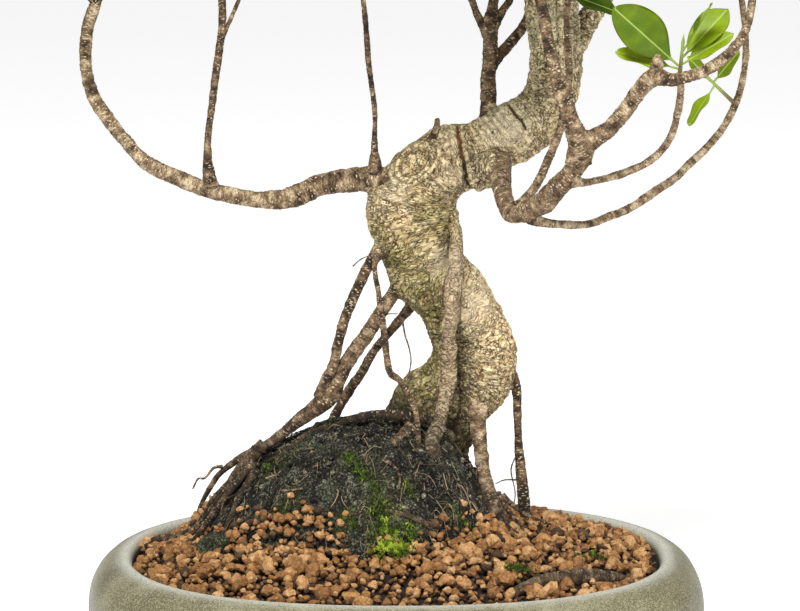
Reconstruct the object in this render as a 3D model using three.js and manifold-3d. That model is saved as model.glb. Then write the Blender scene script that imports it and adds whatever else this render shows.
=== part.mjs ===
// A chinese banyan (Ficus microcarpa) bonsai in its oval glazed pot. Millimetres, +Z up.
// The origin lies on the surface under the middle of the pot, +X is the viewer's right
// and -Y is the front of the tree.
import * as THREE from 'three';
import { mergeVertices } from 'three/addons/utils/BufferGeometryUtils.js';
import Module from 'manifold-3d';

const wasm = await Module();
wasm.setup();

// Driving dimensions

const GAP = 0.3; // between two pieces that touch
const HOLE_GAP = 0.5; // between wood and the ground round it, which is less at a bend

const POT_HEIGHT = 86;
const MOUTH_HALF_LENGTH = 146; // the pot's opening, along X
const MOUTH_HALF_DEPTH = 112; // the pot's opening, along Y
const OVAL_POWER = 2.3; // 2 is an ellipse, more is squarer
const POT_SEGMENTS = 36;
const FOOT_HEIGHT = 7;
const FLOOR_TOP = 15;
const DRAIN_HOLE_RADIUS = 11;
const DRAIN_HOLE_X = 62;
const SCREEN_SIDE = 32;
const SCREEN_THICKNESS = 1.2;

const SOIL_EDGE = 82; // height of the akadama at the wall
const SOIL_RISE = 25; // how much the akadama heaps up towards the middle
const GRAIN_COUNT = 60; // larger grains of akadama, spread over the whole mouth
const GRAIN_RADIUS = 4.6;
const GRAIN_REACH = 136; // along X: the outermost grains lie just off the wall
const GRAIN_RELIEF = 0.9; // the lumps of the ground between them

const MOUND_X = -6; // the middle of the old root ball
const MOUND_Y = 18;
const MOUND_RISE = 51; // above the akadama
const MOUND_REACH = { left: 112, right: 68, front: 78, back: 58 };
const MOUND_SEGMENTS = 22;

const LEAF_LENGTH = 42;
const LEAF_WIDTH_RATIO = 0.47;
const LEAF_THICKNESS = 0.9;
const LEAF_CLEARANCE = 6; // between sample points of leaves on two sprays
const WOOD_CLEARANCE = 4;
const LEAVES_PER_SPRAY = 6;
const SHOOT_LENGTH = 34;
const SHOOT_RADIUS = 1.3;
const NUB_RADIUS = 1.5; // the stump of last year's twig that a side shoot grows from
const NUB_RISE = 1;
const PHYLLOTAXIS = THREE.MathUtils.degToRad(144);
const CROWN_HALF_WIDTH = 213;
const CROWN_HALF_DEPTH = 152;
const CROWN_FLOOR = 395; // the clean underside of the crown, at Y = 0
const CROWN_FLOOR_SLOPE = -0.088; // it rises a little towards the front

// Solids: a closed three.js geometry becomes a solid, and a solid becomes a geometry.

function solidOf(geometry) {
  const bare = geometry.clone();
  bare.deleteAttribute('normal');
  bare.deleteAttribute('uv');
  const merged = mergeVertices(bare, 1e-3);
  const index = merged.index.array;
  const kept = [];
  for (let i = 0; i < index.length; i += 3) {
    const [a, b, c] = [index[i], index[i + 1], index[i + 2]];
    if (a !== b && b !== c && a !== c) kept.push(a, b, c);
  }
  return new wasm.Manifold(new wasm.Mesh({
    numProp: 3,
    vertProperties: new Float32Array(merged.attributes.position.array),
    triVerts: new Uint32Array(kept),
  }));
}

function geometryOf(solid) {
  const mesh = solid.getMesh();
  const geometry = new THREE.BufferGeometry();
  geometry.setAttribute('position', new THREE.BufferAttribute(mesh.vertProperties, 3));
  geometry.setIndex(new THREE.BufferAttribute(mesh.triVerts, 1));
  geometry.computeVertexNormals();
  return geometry;
}

function joined(solids) {
  return solids.reduce((whole, solid) => whole.add(solid));
}

// Of a solid that cutting left in several bodies, the largest.
function largest(solid) {
  return solid.decompose().reduce((most, body) => (body.volume() > most.volume() ? body : most));
}

// The oval of the pot: reach is its half length along X, and its half depth follows.

function ovalPoint(reach, angle) {
  const narrower = MOUTH_HALF_LENGTH - MOUTH_HALF_DEPTH;
  const depth = reach - narrower * Math.min(1, reach / MOUTH_HALF_LENGTH);
  const bend = (value) => Math.sign(value) * Math.abs(value) ** (2 / OVAL_POWER);
  return [reach * bend(Math.cos(angle)), depth * bend(Math.sin(angle))];
}

// A lathe turned on the Z axis, with each ring pressed into the shape that place(ring
// radius, angle, height) gives. The profile runs from the lower pole out and up.
function pressedLathe(profile, segments, place) {
  const geometry = new THREE.LatheGeometry(profile.map(([r, z]) => new THREE.Vector2(r, z)), segments);
  const position = geometry.attributes.position;
  const ring = profile.length;
  for (let i = 0; i < position.count; i += 1) {
    const [radius, height] = profile[i % ring];
    const angle = (Math.floor(i / ring) % segments) * (2 * Math.PI / segments);
    position.setXYZ(i, ...place(radius, angle, height));
  }
  return solidOf(geometry);
}

// The pot: a rolled, rounded lip over a bellied wall, on four low feet, with two holes

function potBody() {
  const mouth = MOUTH_HALF_LENGTH;
  const outside = [[0, FOOT_HEIGHT], [mouth + 6, FOOT_HEIGHT], [mouth + 17, 20], [mouth + 23, 40],
    [mouth + 25, 60], [mouth + 22, 73], [mouth + 15, 82], [mouth + 6, POT_HEIGHT]];
  const inside = [[mouth, POT_HEIGHT - 2], [mouth, 74], [mouth + 8, 58], [mouth + 8, 36],
    [mouth - 4, FLOOR_TOP], [0, FLOOR_TOP]];
  const place = (radius, angle, height) => [...ovalPoint(radius, angle), height];
  return pressedLathe([...outside, ...inside], POT_SEGMENTS, place);
}

// One foot follows the base's oval over an arc of the angle, 20 mm wide.
function potFoot(middle) {
  const halfArc = THREE.MathUtils.degToRad(15);
  const steps = 4;
  const edge = (reach, from, to) => Array.from({ length: steps + 1 }, (unused, i) =>
    new THREE.Vector2(...ovalPoint(reach, from + (to - from) * i / steps)));
  const outer = edge(MOUTH_HALF_LENGTH + 4, middle - halfArc, middle + halfArc);
  const inner = edge(MOUTH_HALF_LENGTH - 16, middle + halfArc, middle - halfArc);
  const shape = new THREE.Shape([...outer, ...inner]);
  return solidOf(new THREE.ExtrudeGeometry(shape, { depth: FOOT_HEIGHT + 2, bevelEnabled: false }));
}

function drainHole(x) {
  const hole = new THREE.CylinderGeometry(DRAIN_HOLE_RADIUS, DRAIN_HOLE_RADIUS, FLOOR_TOP * 2, 16);
  hole.rotateX(Math.PI / 2);
  hole.translate(x, 0, FLOOR_TOP);
  return solidOf(hole);
}

function makePot() {
  const feet = [40, 140, 220, 320].map((degrees) => potFoot(THREE.MathUtils.degToRad(degrees)));
  return joined([potBody(), ...feet]).subtract(drainHole(-DRAIN_HOLE_X)).subtract(drainHole(DRAIN_HOLE_X));
}

function boxSolid(sizeX, sizeY, sizeZ, x, y, z) {
  const box = new THREE.BoxGeometry(sizeX, sizeY, sizeZ);
  box.translate(x, y, z);
  return solidOf(box);
}

// A drain screen is a square of plastic mesh that lies over a hole, under the soil.
const SCREEN_PITCH = 13;
const SCREEN_OPENING = 9;

function drainScreen(x) {
  const z = FLOOR_TOP + GAP + SCREEN_THICKNESS / 2;
  const openings = [-0.5, 0.5].flatMap((row) => [-0.5, 0.5].map((column) =>
    boxSolid(SCREEN_OPENING, SCREEN_OPENING, 3 * SCREEN_THICKNESS,
      x + row * SCREEN_PITCH, column * SCREEN_PITCH, z)));
  return boxSolid(SCREEN_SIDE, SCREEN_SIDE, SCREEN_THICKNESS, x, 0, z).subtract(joined(openings));
}

// The heights of the ground: the akadama's dome, and the old root ball that stands out of it

function domeHeight(x, y) {
  const outward = (x / MOUTH_HALF_LENGTH) ** 2 + (y / MOUTH_HALF_DEPTH) ** 2;
  return SOIL_EDGE + SOIL_RISE * Math.max(0, 1 - outward);
}

function moundHeight(x, y) {
  const reachX = x > MOUND_X ? MOUND_REACH.right : MOUND_REACH.left;
  const reachY = y > MOUND_Y ? MOUND_REACH.back : MOUND_REACH.front;
  const outward = Math.hypot((x - MOUND_X) / reachX, (y - MOUND_Y) / reachY);
  return domeHeight(x, y) + MOUND_RISE * Math.max(0, 1 - outward ** 2.4) ** 0.9;
}

// Lumps a grain or two across, from two crossed waves that never repeat on the grid.
function grainRelief(x, y) {
  return Math.sin(x * 0.83 + y * 0.31) * Math.cos(y * 0.71 - x * 0.37) + 0.5 * Math.sin(x * 1.9 + y * 2.3);
}

function makeAkadama() {
  const mouth = MOUTH_HALF_LENGTH - GAP;
  const wall = [[0, FLOOR_TOP + GAP], [mouth - 4, FLOOR_TOP + GAP], [mouth + 8, 36 + GAP],
    [mouth + 8, 58 - GAP], [mouth, 74]];
  const rings = [1, 0.93, 0.84, 0.74, 0.62, 0.46, 0.24, 0];
  const surface = rings.map((part) => [part * mouth, SOIL_EDGE]);
  const place = (radius, angle, height) => {
    const [x, y] = ovalPoint(radius, angle);
    if (height < SOIL_EDGE) return [x, y, height];
    const rough = radius > mouth - 1 || radius < 1 ? 0 : GRAIN_RELIEF * grainRelief(x, y);
    return [x, y, domeHeight(x, y) + rough];
  };
  return joined([pressedLathe([...wall, ...surface], POT_SEGMENTS, place), ...grains()]);
}

// The larger grains lie half sunk in the surface, on a spiral of golden angles.
function grains() {
  const golden = Math.PI * (3 - Math.sqrt(5));
  const places = Array.from({ length: GRAIN_COUNT }, (unused, i) =>
    [...ovalPoint(GRAIN_REACH * Math.sqrt((i + 0.5) / GRAIN_COUNT), i * golden), i]);
  return places.filter(([x, y]) => moundHeight(x, y) < domeHeight(x, y) + 1).map(([x, y, i]) => {
    const grain = new THREE.OctahedronGeometry(GRAIN_RADIUS * (0.75 + 0.5 * ((i * 0.37) % 1)));
    grain.scale(1, 0.85, 0.7);
    grain.rotateX(i * 1.7);
    grain.rotateZ(i * 2.9);
    grain.translate(x, y, domeHeight(x, y) + 0.8);
    return solidOf(grain);
  });
}

// The old root ball: a fibrous mound above the akadama and a bowl inside it.
function makeRootBall(grow) {
  const bowl = [[0, 32 - grow], [0.7, 42 - grow], [0.97, 76 - grow]];
  const top = [1, 0.92, 0.8, 0.65, 0.48, 0.28, 0].map((part) => [part, 1000]);
  const place = (part, angle, height) => {
    const reachX = (Math.cos(angle) > 0 ? MOUND_REACH.right : MOUND_REACH.left) + grow;
    const reachY = (Math.sin(angle) > 0 ? MOUND_REACH.back : MOUND_REACH.front) + grow;
    const x = MOUND_X + reachX * part * Math.cos(angle);
    const y = MOUND_Y + reachY * part * Math.sin(angle);
    if (height < 1000) return [x, y, height];
    const rough = part === 1 || part === 0 ? 0.6 : 1.1 * grainRelief(x, y);
    return [x, y, moundHeight(x, y) + rough + grow];
  };
  return pressedLathe([...bowl, ...top], MOUND_SEGMENTS, place);
}

// A mossy clod of old soil lies on the akadama at the left.
const CLOD = { x: -99, y: -30, z: 95, radius: 10 };

function makeClod(grow) {
  const lump = new THREE.IcosahedronGeometry(CLOD.radius + grow, 1);
  lump.scale(1, 0.9, 0.85);
  lump.translate(CLOD.x, CLOD.y, CLOD.z);
  return solidOf(lump);
}

// Wood: every trunk, branch and root is a limb, a list of [x, y, z, radius] from thick to
// thin. Two limbs that grow together share wood where one starts inside the other.

const TRUNK = {
  trunk: [[20, 16, 84, 12], [22, 18, 100, 17], [24, 18, 116, 17], [26, 18, 128, 13.4],
    [31, 18, 141, 10], [39, 18, 154, 8.5], [44, 18, 165, 10.2], [48, 18, 175, 14], [50, 18, 186, 16],
    [49, 18, 201, 15.8], [42, 18, 216, 16.1], [33, 19, 229, 17.3], [18.5, 20, 243, 18.8],
    [12, 20, 258, 23], [9.5, 20, 276, 25.4], [15, 20, 290, 21.5], [25, 20, 299, 18.8],
    [37, 21, 304, 17.9], [54, 22, 312, 16], [69, 23, 320, 16.6], [81, 24, 331, 15.2],
    [87, 25, 347, 14.6], [87, 26, 363, 14.9], [85, 27, 387, 14.6], [81, 26, 410, 13.2],
    [70, 22, 434, 11.4], [53, 16, 455, 9.6], [38, 8, 478, 7.6], [29, 2, 502, 5.9], [23, -4, 522, 4.3],
    [18, -7, 535, 3], [12, -9, 546, 2]],
  buttress: [[10, 24, 90, 13], [10, 26, 106, 23], [10, 26, 129, 21.4], [10, 26, 144, 20.5],
    [12, 25, 158, 18], [15, 24, 170, 15], [23, 23, 182, 10], [27, 22, 195, 7], [25.5, 21, 207, 7],
    [20.5, 20, 220, 9], [15, 20, 233, 16.7], [13, 20, 246, 20]],
  groove_strand: [[35, 22, 222, 9], [34, 22, 200, 7.5], [32, 20, 170, 8.5], [30, 20, 144, 9]],
  branch_collar: [[42, 17, 300, 15], [53, 15, 302, 13]],
  right_fork: [[90, 28, 349, 8.8], [97, 30, 362, 7.4], [104, 34, 375, 6.6], [112, 39, 388, 6.1],
    [124, 46, 408, 5], [138, 54, 428, 4], [150, 60, 448, 3], [158, 64, 462, 2.2]],
};

const BRANCHES = {
  left_branch: [[-4, 18, 289, 9], [-16, 16, 293, 5.8], [-38, 12, 291.3, 5.6], [-49, 10, 287.4, 5.8],
    [-60, 8, 283.3, 5.6], [-76, 6, 283, 4.7], [-92, 4, 286, 4.6], [-106, 2, 290, 4.6],
    [-131, 0, 301, 4.1], [-143.5, 0, 311, 3.8], [-162, 5, 334, 3.6], [-168, 8, 347.5, 3.4],
    [-170, 12, 362, 3.4], [-169, 16, 376, 3.3], [-164, 20, 391, 3.1], [-157, 22, 408, 2.7],
    [-151, 21, 425, 2.2], [-149, 18, 440, 1.8]],
  left_riser: [[-102, 2, 291, 3.6], [-103, 2, 301, 2.8], [-103, 3, 317, 2], [-101, 5, 333, 2],
    [-99, 7, 349, 2.2], [-95, 10, 378, 2.2], [-95, 12, 392, 2.1], [-94, 13, 410, 1.9],
    [-98, 9, 428, 1.7]],
  left_riser_twig: [[-96, 10, 371, 1.5], [-93, 11, 376, 1.2], [-89, 14, 385, 1.1],
    [-85, 17, 394, 1.1], [-78, 24, 409, 1.1]],
  middle_riser: [[-12, 14, 297, 3.4], [-12, 11, 316, 1.5], [-12, 8, 333, 1.4], [-15, 4, 357, 1.6],
    [-16, 2, 371, 1.6], [-18, 0, 393, 1.4], [-21, -5, 412, 1.3]],
  back_riser: [[51, 26, 312, 6], [51, 34, 327, 4.6], [51, 36, 337, 4.3], [51, 37, 348, 4.2],
    [52, 38, 358, 4.4], [52, 39, 367, 4.2], [52, 40, 377, 4], [54, 43, 390, 2.8],
    [57, 54, 408, 2.3], [62, 68, 424, 1.8]],
  back_riser_left: [[51, 40, 371, 3], [44.8, 40, 381, 2], [41, 39, 391, 1.9], [30, 41, 409, 1.7],
    [17, 45, 424, 1.4]],
  back_riser_right: [[52, 38, 355, 3.6], [57, 41, 359, 3], [64, 46, 366, 2.8], [70, 52, 373, 2.7],
    [77, 60, 384, 2.5], [90, 72, 398, 2.1], [103, 84, 411, 1.7]],
  back_riser_twig: [[52, 40, 374, 3], [58.5, 44, 383, 2.2], [63, 50, 391, 2], [54, 62, 402, 1.7],
    [44, 76, 414, 1.4]],
  front_branch: [[55, 16, 308, 6.4], [56, 6, 304, 5.8], [57, -6, 294, 5.2], [59, -18, 285, 5],
    [63, -26, 280, 5], [72, -34, 284, 5.4], [79, -39, 288, 5.9], [86, -44, 297, 6], [92, -48, 304, 5.6],
    [98, -52, 314, 5.2], [100, -55, 323, 6.2]],
  front_left_arm: [[98, -54, 319, 5.6], [93, -57, 332, 4.8], [89, -58, 344, 4.2], [84, -57, 360, 3.6],
    [80, -55, 376, 3.3], [77, -52, 392, 3.2], [73, -54, 412, 2.7], [65, -60, 430, 2.2]],
  front_right_arm: [[98, -54, 320, 5.6], [111.4, -57, 329.4, 4.4], [120.7, -59, 340, 4.1],
    [128, -61, 351, 4.2], [135.3, -62, 357.7, 4.9], [146, -64, 357, 3.4], [162, -66, 362, 3.3],
    [173, -67, 370, 2.9], [182, -67, 382, 2.5], [186, -65, 398, 2.2], [186, -60, 415, 1.9]],
  pruned_stub: [[136, -62, 358, 3.3], [137.5, -64, 370, 2.5]],
  slender_twig: [[93, -49, 302, 4], [99, -47, 300, 2], [109, -43, 301, 1.9], [122, -38, 304, 2.2],
    [136.5, -35, 310.5, 2.1], [146.3, -35, 322, 2.1], [150, -38, 336, 2.1], [151, -44, 348, 1.9],
    [150, -50, 359, 1.8]],
  lower_right_twig: [[67, -31, 281, 3.6], [79, -29, 275.8, 2.4], [101, -21, 273.2, 2.1],
    [114, -15, 276.2, 2.2], [128, -9, 281, 2.3], [142, -3, 289.5, 2.4], [152, 2, 295.2, 2.3],
    [161, 7, 303.2, 2.2], [170, 12, 310.7, 2.1], [181, 17, 323.5, 2], [189, 20, 342, 1.9],
    [192, 22, 364, 1.8], [190, 23, 386, 1.7], [186, 24, 406, 1.5]],
  rising_twig: [[66, -28, 284, 3], [70, -27, 289, 2], [75, -26, 295, 2.4], [80, -24, 305, 2.3],
    [88, -20, 324, 2.2], [91, -18, 340, 2.1], [93, -17, 354, 2], [92, -16, 373, 1.9],
    [92, -14, 392, 1.8], [97, -18, 410, 1.5]],
};

const CROWN = {
  crown_left: [[58, 18, 449, 6.5], [30, 24, 461, 5.4], [0, 30, 469, 4.6], [-32, 32, 478, 3.8],
    [-62, 28, 485, 3], [-90, 20, 490, 2.2]],
  crown_front: [[48, 14, 461, 6], [35, -18, 472, 4.5], [20, -46, 482, 3.6], [2, -68, 490, 2.8],
    [-14, -86, 497, 2]],
  crown_back: [[62, 20, 445, 6], [57, 50, 457, 4.8], [46, 74, 468, 3.6], [30, 92, 478, 2.4]],
  crown_right: [[72, 23, 431, 6.5], [98, 10, 446, 5], [124, -2, 460, 4], [148, -10, 474, 3],
    [168, -12, 486, 2.2]],
  crown_upper_left: [[30, 4, 497, 4.4], [4, 2, 510, 3], [-22, -2, 519, 2.4], [-44, -4, 525, 1.8]],
  crown_upper_right: [[25, -1, 514, 4], [46, 8, 523, 2.6], [66, 16, 531, 2]],
  left_branch_fork: [[-164, 20, 391, 2.8], [-175, 10, 403, 2], [-184, -2, 416, 1.5]],
};

const ROOTS = {
  prop_root_back: [[-5, 16, 263, 4.5], [-9.7, 14, 255, 2.9], [-14.7, 12, 247, 3], [-20.7, 9, 235, 3],
    [-25.7, 7, 224, 3], [-30, 5, 212, 2.9], [-35, 3, 191, 2.8], [-39, 3, 183, 3], [-43, 4, 171, 3.4]],
  prop_root_thick: [[6, 20, 240, 4.5], [-1, 16, 230, 3.4], [-6, 13, 223, 3.4], [-17.2, 9, 206, 4],
    [-26.3, 7, 193.7, 4.2], [-32.4, 6, 182, 4.5], [-37, 5, 173.5, 5.4], [-45.2, 6, 166.2, 4.5],
    [-54.2, 7, 159, 3.6], [-66.2, 9, 149, 3], [-77.8, 11, 140, 2.8]],
  prop_root_far: [[11, 30, 225, 4], [6, 35, 216, 2.8], [0, 38, 208, 2.5], [-13, 43, 191, 2.4],
    [-20, 45, 178, 2.5], [-25, 46, 171, 2.8], [-34, 47, 155, 2.6], [-39, 46, 144, 2.6],
    [-44, 45, 132, 2]],
  hanging_root: [[-9, 13, 254, 3], [-12, 4, 246, 1.4], [-10, -2, 233, 1.5], [-8, -6, 220, 1.9],
    [-5, -10, 196, 1.9], [-3, -11, 189, 2], [2, -12, 185, 1.7], [9, -14, 173, 1.6],
    [11, -15, 165, 1.5], [12, -16, 155, 1.4], [12, -17, 142, 1.3]],
  ridge_root: [[30, 14, 146, 3.4], [27, 3, 153, 2.6], [17, -1, 161, 2.3], [2, -3, 164, 2.8],
    [-14, -1, 164, 2.4], [-25, 4, 160, 2.2], [-35, 8, 155, 2], [-46, 8, 151, 1.8],
    [-56, 3, 146, 1.6], [-66, -2, 139, 1.3]],
  trunk_root: [[37, 14, 284, 3.6], [34, 5, 276, 3.5], [33, 2, 265, 3.5], [33, 0, 244, 3.8],
    [31, -1, 235, 4.4], [30, 0, 219, 4], [29, 2, 208, 3.9], [28.6, 1, 186, 3.9], [27, -1, 176, 3.9],
    [25, -4, 166, 4], [22, -8, 156, 4.4], [19, -14, 145, 5], [17, -22, 132, 4.4]],
  right_prop_root: [[47, 16, 170, 6], [45, 8, 160, 4.4], [47, 1, 142, 3.9], [48, -2, 133, 3.9],
    [51, -5, 120, 4.4], [55, -9, 110, 4.4], [61, -14, 101, 3.7], [65, -24, 92, 2.7]],
  far_right_root: [[58, 16, 188, 4.8], [65, 16, 181, 2.7], [67, 16, 172, 2.4], [68, 15, 146, 2.3],
    [69, 14, 134, 2.7], [71, 12, 114, 3.4], [72, 11, 104, 3.1], [74, 9, 92, 2.5]],
  surface_root: [[24, 10, 108, 9], [34, -12, 96, 6], [46, -44, 84, 4], [56, -76, 80, 3.2],
    [63, -86, 85, 3], [71, -80, 87, 3.5], [80, -73, 87.5, 4.3], [90, -67, 88, 4.6],
    [100, -62, 87.5, 4.8], [111, -57, 86, 3.9], [120, -52, 84.5, 2.6], [127, -48, 82, 1.7]],
  fan_root_outer: [[-74, 10, 143.5, 3.3], [-81, 11, 139, 2.8], [-87, 12, 136.5, 2.2],
    [-97, 13, 129, 1.7], [-102, 14, 123, 1.7], [-108, 16, 112, 1.4], [-111, 17, 104, 1.4],
    [-113, 18, 94, 1.3]],
  fan_root_long: [[-77, 10, 140.5, 3.3], [-84, 7, 135, 2.7], [-88, 5, 131, 2.3], [-97, 6, 118, 2.2],
    [-106, 11, 105, 2.3], [-113, 15, 96, 2.4], [-119, 18, 90, 2.5], [-126, 20, 86, 2.6],
    [-132, 19, 82, 1.8]],
  fan_root_inner: [[-83, 7, 136, 2.6], [-89, 7, 130, 1.9], [-92, 6, 123, 1.7], [-95, -2, 116, 1.7],
    [-97, -9, 109, 1.7], [-99, -15, 100, 1.4]],
  fan_root_far: [[-119, 19, 90, 2.2], [-124, 26, 87, 1.9], [-130, 30, 85, 2.3],
    [-136, 26, 83.5, 2.5], [-139, 19, 81, 1.9]],
  crest_rootlet: [[17, -20, 130, 3], [2, -30, 121, 1.8], [-7, -42, 119, 1.4], [-7, -48, 120.5, 1.3],
    [-1, -50.5, 120.5, 1.2], [7, -50, 118, 1.6], [15, -49, 114, 1.6], [21, -48, 108, 1.4]],
};

const THICK_SIDES = 9;
const LIMB_SIDES = 5;
const THIN_SIDES = 4;
const THICK_RADIUS = 9; // a limb that is thicker than this has more sides
const LIMB_RADIUS = 2.9;

// The middle of each ring of a limb, with the axes it is turned to: the tangent is the mean
// direction of the two stretches that meet there, and the side is carried along without twist.
function limbFrames(points) {
  const centres = points.map(([x, y, z]) => new THREE.Vector3(x, y, z));
  const last = centres.length - 1;
  let side = null;
  return centres.map((centre, i) => {
    const before = centres[Math.max(0, i - 1)];
    const after = centres[Math.min(last, i + 1)];
    const along = after.clone().sub(before).normalize();
    if (side === null) side = new THREE.Vector3(...(Math.abs(along.y) < 0.9 ? [0, 1, 0] : [1, 0, 0]));
    side = side.clone().addScaledVector(along, -side.dot(along)).normalize();
    return { centre, along, side, across: along.clone().cross(side), radius: points[i][3] };
  });
}

// A limb is a cylinder with one ring for each point, bent and tapered along them.
function limbSolid(points, sides, grow = 0) {
  const frames = limbFrames(points);
  const rows = frames.length - 1;
  const tube = new THREE.CylinderGeometry(1, 1, rows, sides, rows);
  const position = tube.attributes.position;
  for (let i = 0; i < position.count; i += 1) {
    const row = Math.round(position.getY(i) + rows / 2);
    const { centre, along, side, across, radius } = frames[row];
    const end = row === 0 ? -grow : row === rows ? grow : 0;
    const place = centre.clone().addScaledVector(along, end)
      .addScaledVector(side, position.getX(i) * (radius + grow))
      .addScaledVector(across, -position.getZ(i) * (radius + grow));
    position.setXYZ(i, place.x, place.y, place.z);
  }
  return solidOf(tube);
}

function sidesOf(points) {
  const thickest = Math.max(...points.map((point) => point[3]));
  const middle = points[Math.floor(points.length / 2)][3];
  if (thickest > THICK_RADIUS && middle > LIMB_RADIUS) return THICK_SIDES;
  return middle > LIMB_RADIUS ? LIMB_SIDES : THIN_SIDES;
}

const LIMBS = { ...TRUNK, ...BRANCHES, ...CROWN, ...ROOTS };

function makeTree(nubs) {
  return joined([...Object.values(LIMBS), ...nubs].map((points) => limbSolid(points, sidesOf(points))));
}

// Where wood passes through the ground, the ground has a plain hole around it.
function holesForWood() {
  const grounded = {
    trunk: TRUNK.trunk.slice(0, 6), buttress: TRUNK.buttress.slice(0, 6), groove: TRUNK.groove_strand, ...ROOTS,
  };
  return joined(Object.values(grounded).map((points) => limbSolid(points, sidesOf(points), HOLE_GAP)));
}

// Foliage: a spray is a short green shoot with its leaves, 2/5 of a turn apart.

function makeDraw(seed) {
  let state = seed;
  return () => {
    state = (state * 16807) % 2147483647;
    return state / 2147483647;
  };
}

// A leaf lies along a unit direction from its foot, with the unit vector up square to it.
// Its midrib droops, its two halves fold up a little, and it is widest past the middle.
const LEAF_STATIONS = [[0.38, 0.78], [0.62, 1], [0.85, 0.64]];
const LEAF_FOLD = 0.22;
const RIB_PLACE = 0.56; // the thickest place on the midrib

function leafPoint(leaf, part, aside) {
  const half = leaf.length * leaf.width / 2;
  const sink = -leaf.droop * leaf.length * part ** 2 + LEAF_FOLD * half * Math.abs(aside);
  return leaf.foot.clone().addScaledVector(leaf.along, leaf.length * part)
    .addScaledVector(leaf.aside, half * aside)
    .addScaledVector(leaf.up, sink);
}

function leafSolid(leaf) {
  const right = LEAF_STATIONS.map(([part, wide]) => leafPoint(leaf, part, wide));
  const left = LEAF_STATIONS.map(([part, wide]) => leafPoint(leaf, part, -wide));
  const rib = leafPoint(leaf, RIB_PLACE, 0);
  const rim = [leafPoint(leaf, 0, 0), ...right, leafPoint(leaf, 1, 0), ...left.reverse()];
  const lift = (point, way) => point.clone().addScaledVector(leaf.up, way * LEAF_THICKNESS / 2);
  const points = [...rim, lift(rib, 1), lift(rib, -1)];
  const upper = rim.map((unused, i) => [i, (i + 1) % rim.length, rim.length]);
  const lower = rim.map((unused, i) => [(i + 1) % rim.length, i, rim.length + 1]);
  const geometry = new THREE.BufferGeometry();
  geometry.setAttribute('position', new THREE.Float32BufferAttribute(points.flatMap((p) => p.toArray()), 3));
  geometry.setIndex([...upper, ...lower].flat());
  return solidOf(geometry);
}

// A leaf from its foot towards a direction: its face looks up, leaning a little down the shoot.
function aimedLeaf(foot, along, shootAlong, length, droop) {
  const sky = new THREE.Vector3(0, 0, 1).addScaledVector(shootAlong, 0.35);
  const up = sky.addScaledVector(along, -sky.dot(along)).normalize();
  return { foot, along, up, aside: along.clone().cross(up), length, width: LEAF_WIDTH_RATIO, droop };
}

// Sample points that stand for a leaf when it is kept clear of the other sprays and the wood.
function leafSamples(leaf) {
  const samples = [];
  for (const part of [0.2, 0.4, 0.6, 0.8, 1]) {
    for (const aside of [-0.7, 0, 0.7]) samples.push(leafPoint(leaf, part, part === 1 ? 0 : aside));
  }
  return samples;
}

function woodSamples() {
  const samples = [];
  for (const points of Object.values(LIMBS)) {
    for (let i = 0; i + 1 < points.length; i += 1) {
      for (const part of [0, 0.25, 0.5, 0.75]) {
        samples.push(points[i].map((value, k) => value + (points[i + 1][k] - value) * part));
      }
    }
  }
  return samples.filter((sample) => sample[2] > CROWN_FLOOR - 60);
}

// The shoots: the limb that carries one, the place on it (its points are numbered from 0),
// the direction it grows in, and its leaves' size against the usual one.
const SHOOTS = [
  ['trunk', 31, [-0.35, -0.1, 0.9], 0.9], ['trunk', 29, [-0.5, -0.7, 0.5], 1],
  ['trunk', 29.6, [0.6, 0.5, 0.5], 0.9],
  ['crown_upper_left', 3, [-0.9, -0.1, 0.4], 1], ['crown_upper_left', 2, [-0.2, 0.8, 0.5], 0.95],
  ['crown_upper_right', 2, [0.8, 0.3, 0.5], 1], ['crown_upper_right', 1.2, [0.3, -0.8, 0.5], 0.95],
  ['crown_left', 5, [-0.95, -0.2, 0.25], 1], ['crown_left', 4, [-0.4, 0.8, 0.4], 1],
  ['crown_left', 3.6, [-0.4, -0.8, 0.4], 1],
  ['crown_front', 4, [-0.4, -0.8, 0.35], 1], ['crown_front', 3, [0.7, -0.6, 0.4], 1],
  ['crown_front', 2.4, [-0.8, 0, 0.5], 1],
  ['crown_back', 3, [-0.3, 0.85, 0.35], 1], ['crown_back', 2, [0.8, 0.4, 0.4], 1],
  ['crown_right', 4, [0.9, -0.1, 0.4], 1], ['crown_right', 3, [0.4, -0.8, 0.35], 1],
  ['crown_right', 2.5, [0.3, 0.8, 0.45], 1],
  ['right_fork', 7, [0.6, 0.4, 0.7], 1],
  ['left_branch', 17, [0.1, -0.2, 1], 1], ['left_branch', 15.5, [0.6, 0.6, 0.4], 0.95],
  ['left_branch_fork', 2, [-0.6, -0.5, 0.6], 0.95],
  ['left_riser', 8, [-0.2, -0.3, 0.9], 1], ['left_riser_twig', 4, [0.5, 0.4, 0.7], 0.9],
  ['middle_riser', 6, [-0.3, -0.4, 0.85], 0.9],
  ['back_riser', 9, [0.3, 0.6, 0.7], 0.95], ['back_riser_left', 4, [-0.7, 0.3, 0.6], 0.95],
  ['back_riser_right', 6, [0.6, 0.5, 0.6], 1], ['back_riser_twig', 4, [-0.4, 0.7, 0.6], 0.9],
  ['front_left_arm', 7, [-0.4, -0.4, 0.8], 1], ['front_right_arm', 10, [0, 0.1, 1], 1],
  ['lower_right_twig', 13, [-0.2, 0.2, 1], 1], ['rising_twig', 9, [0.3, -0.2, 0.9], 0.95],
];

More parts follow.
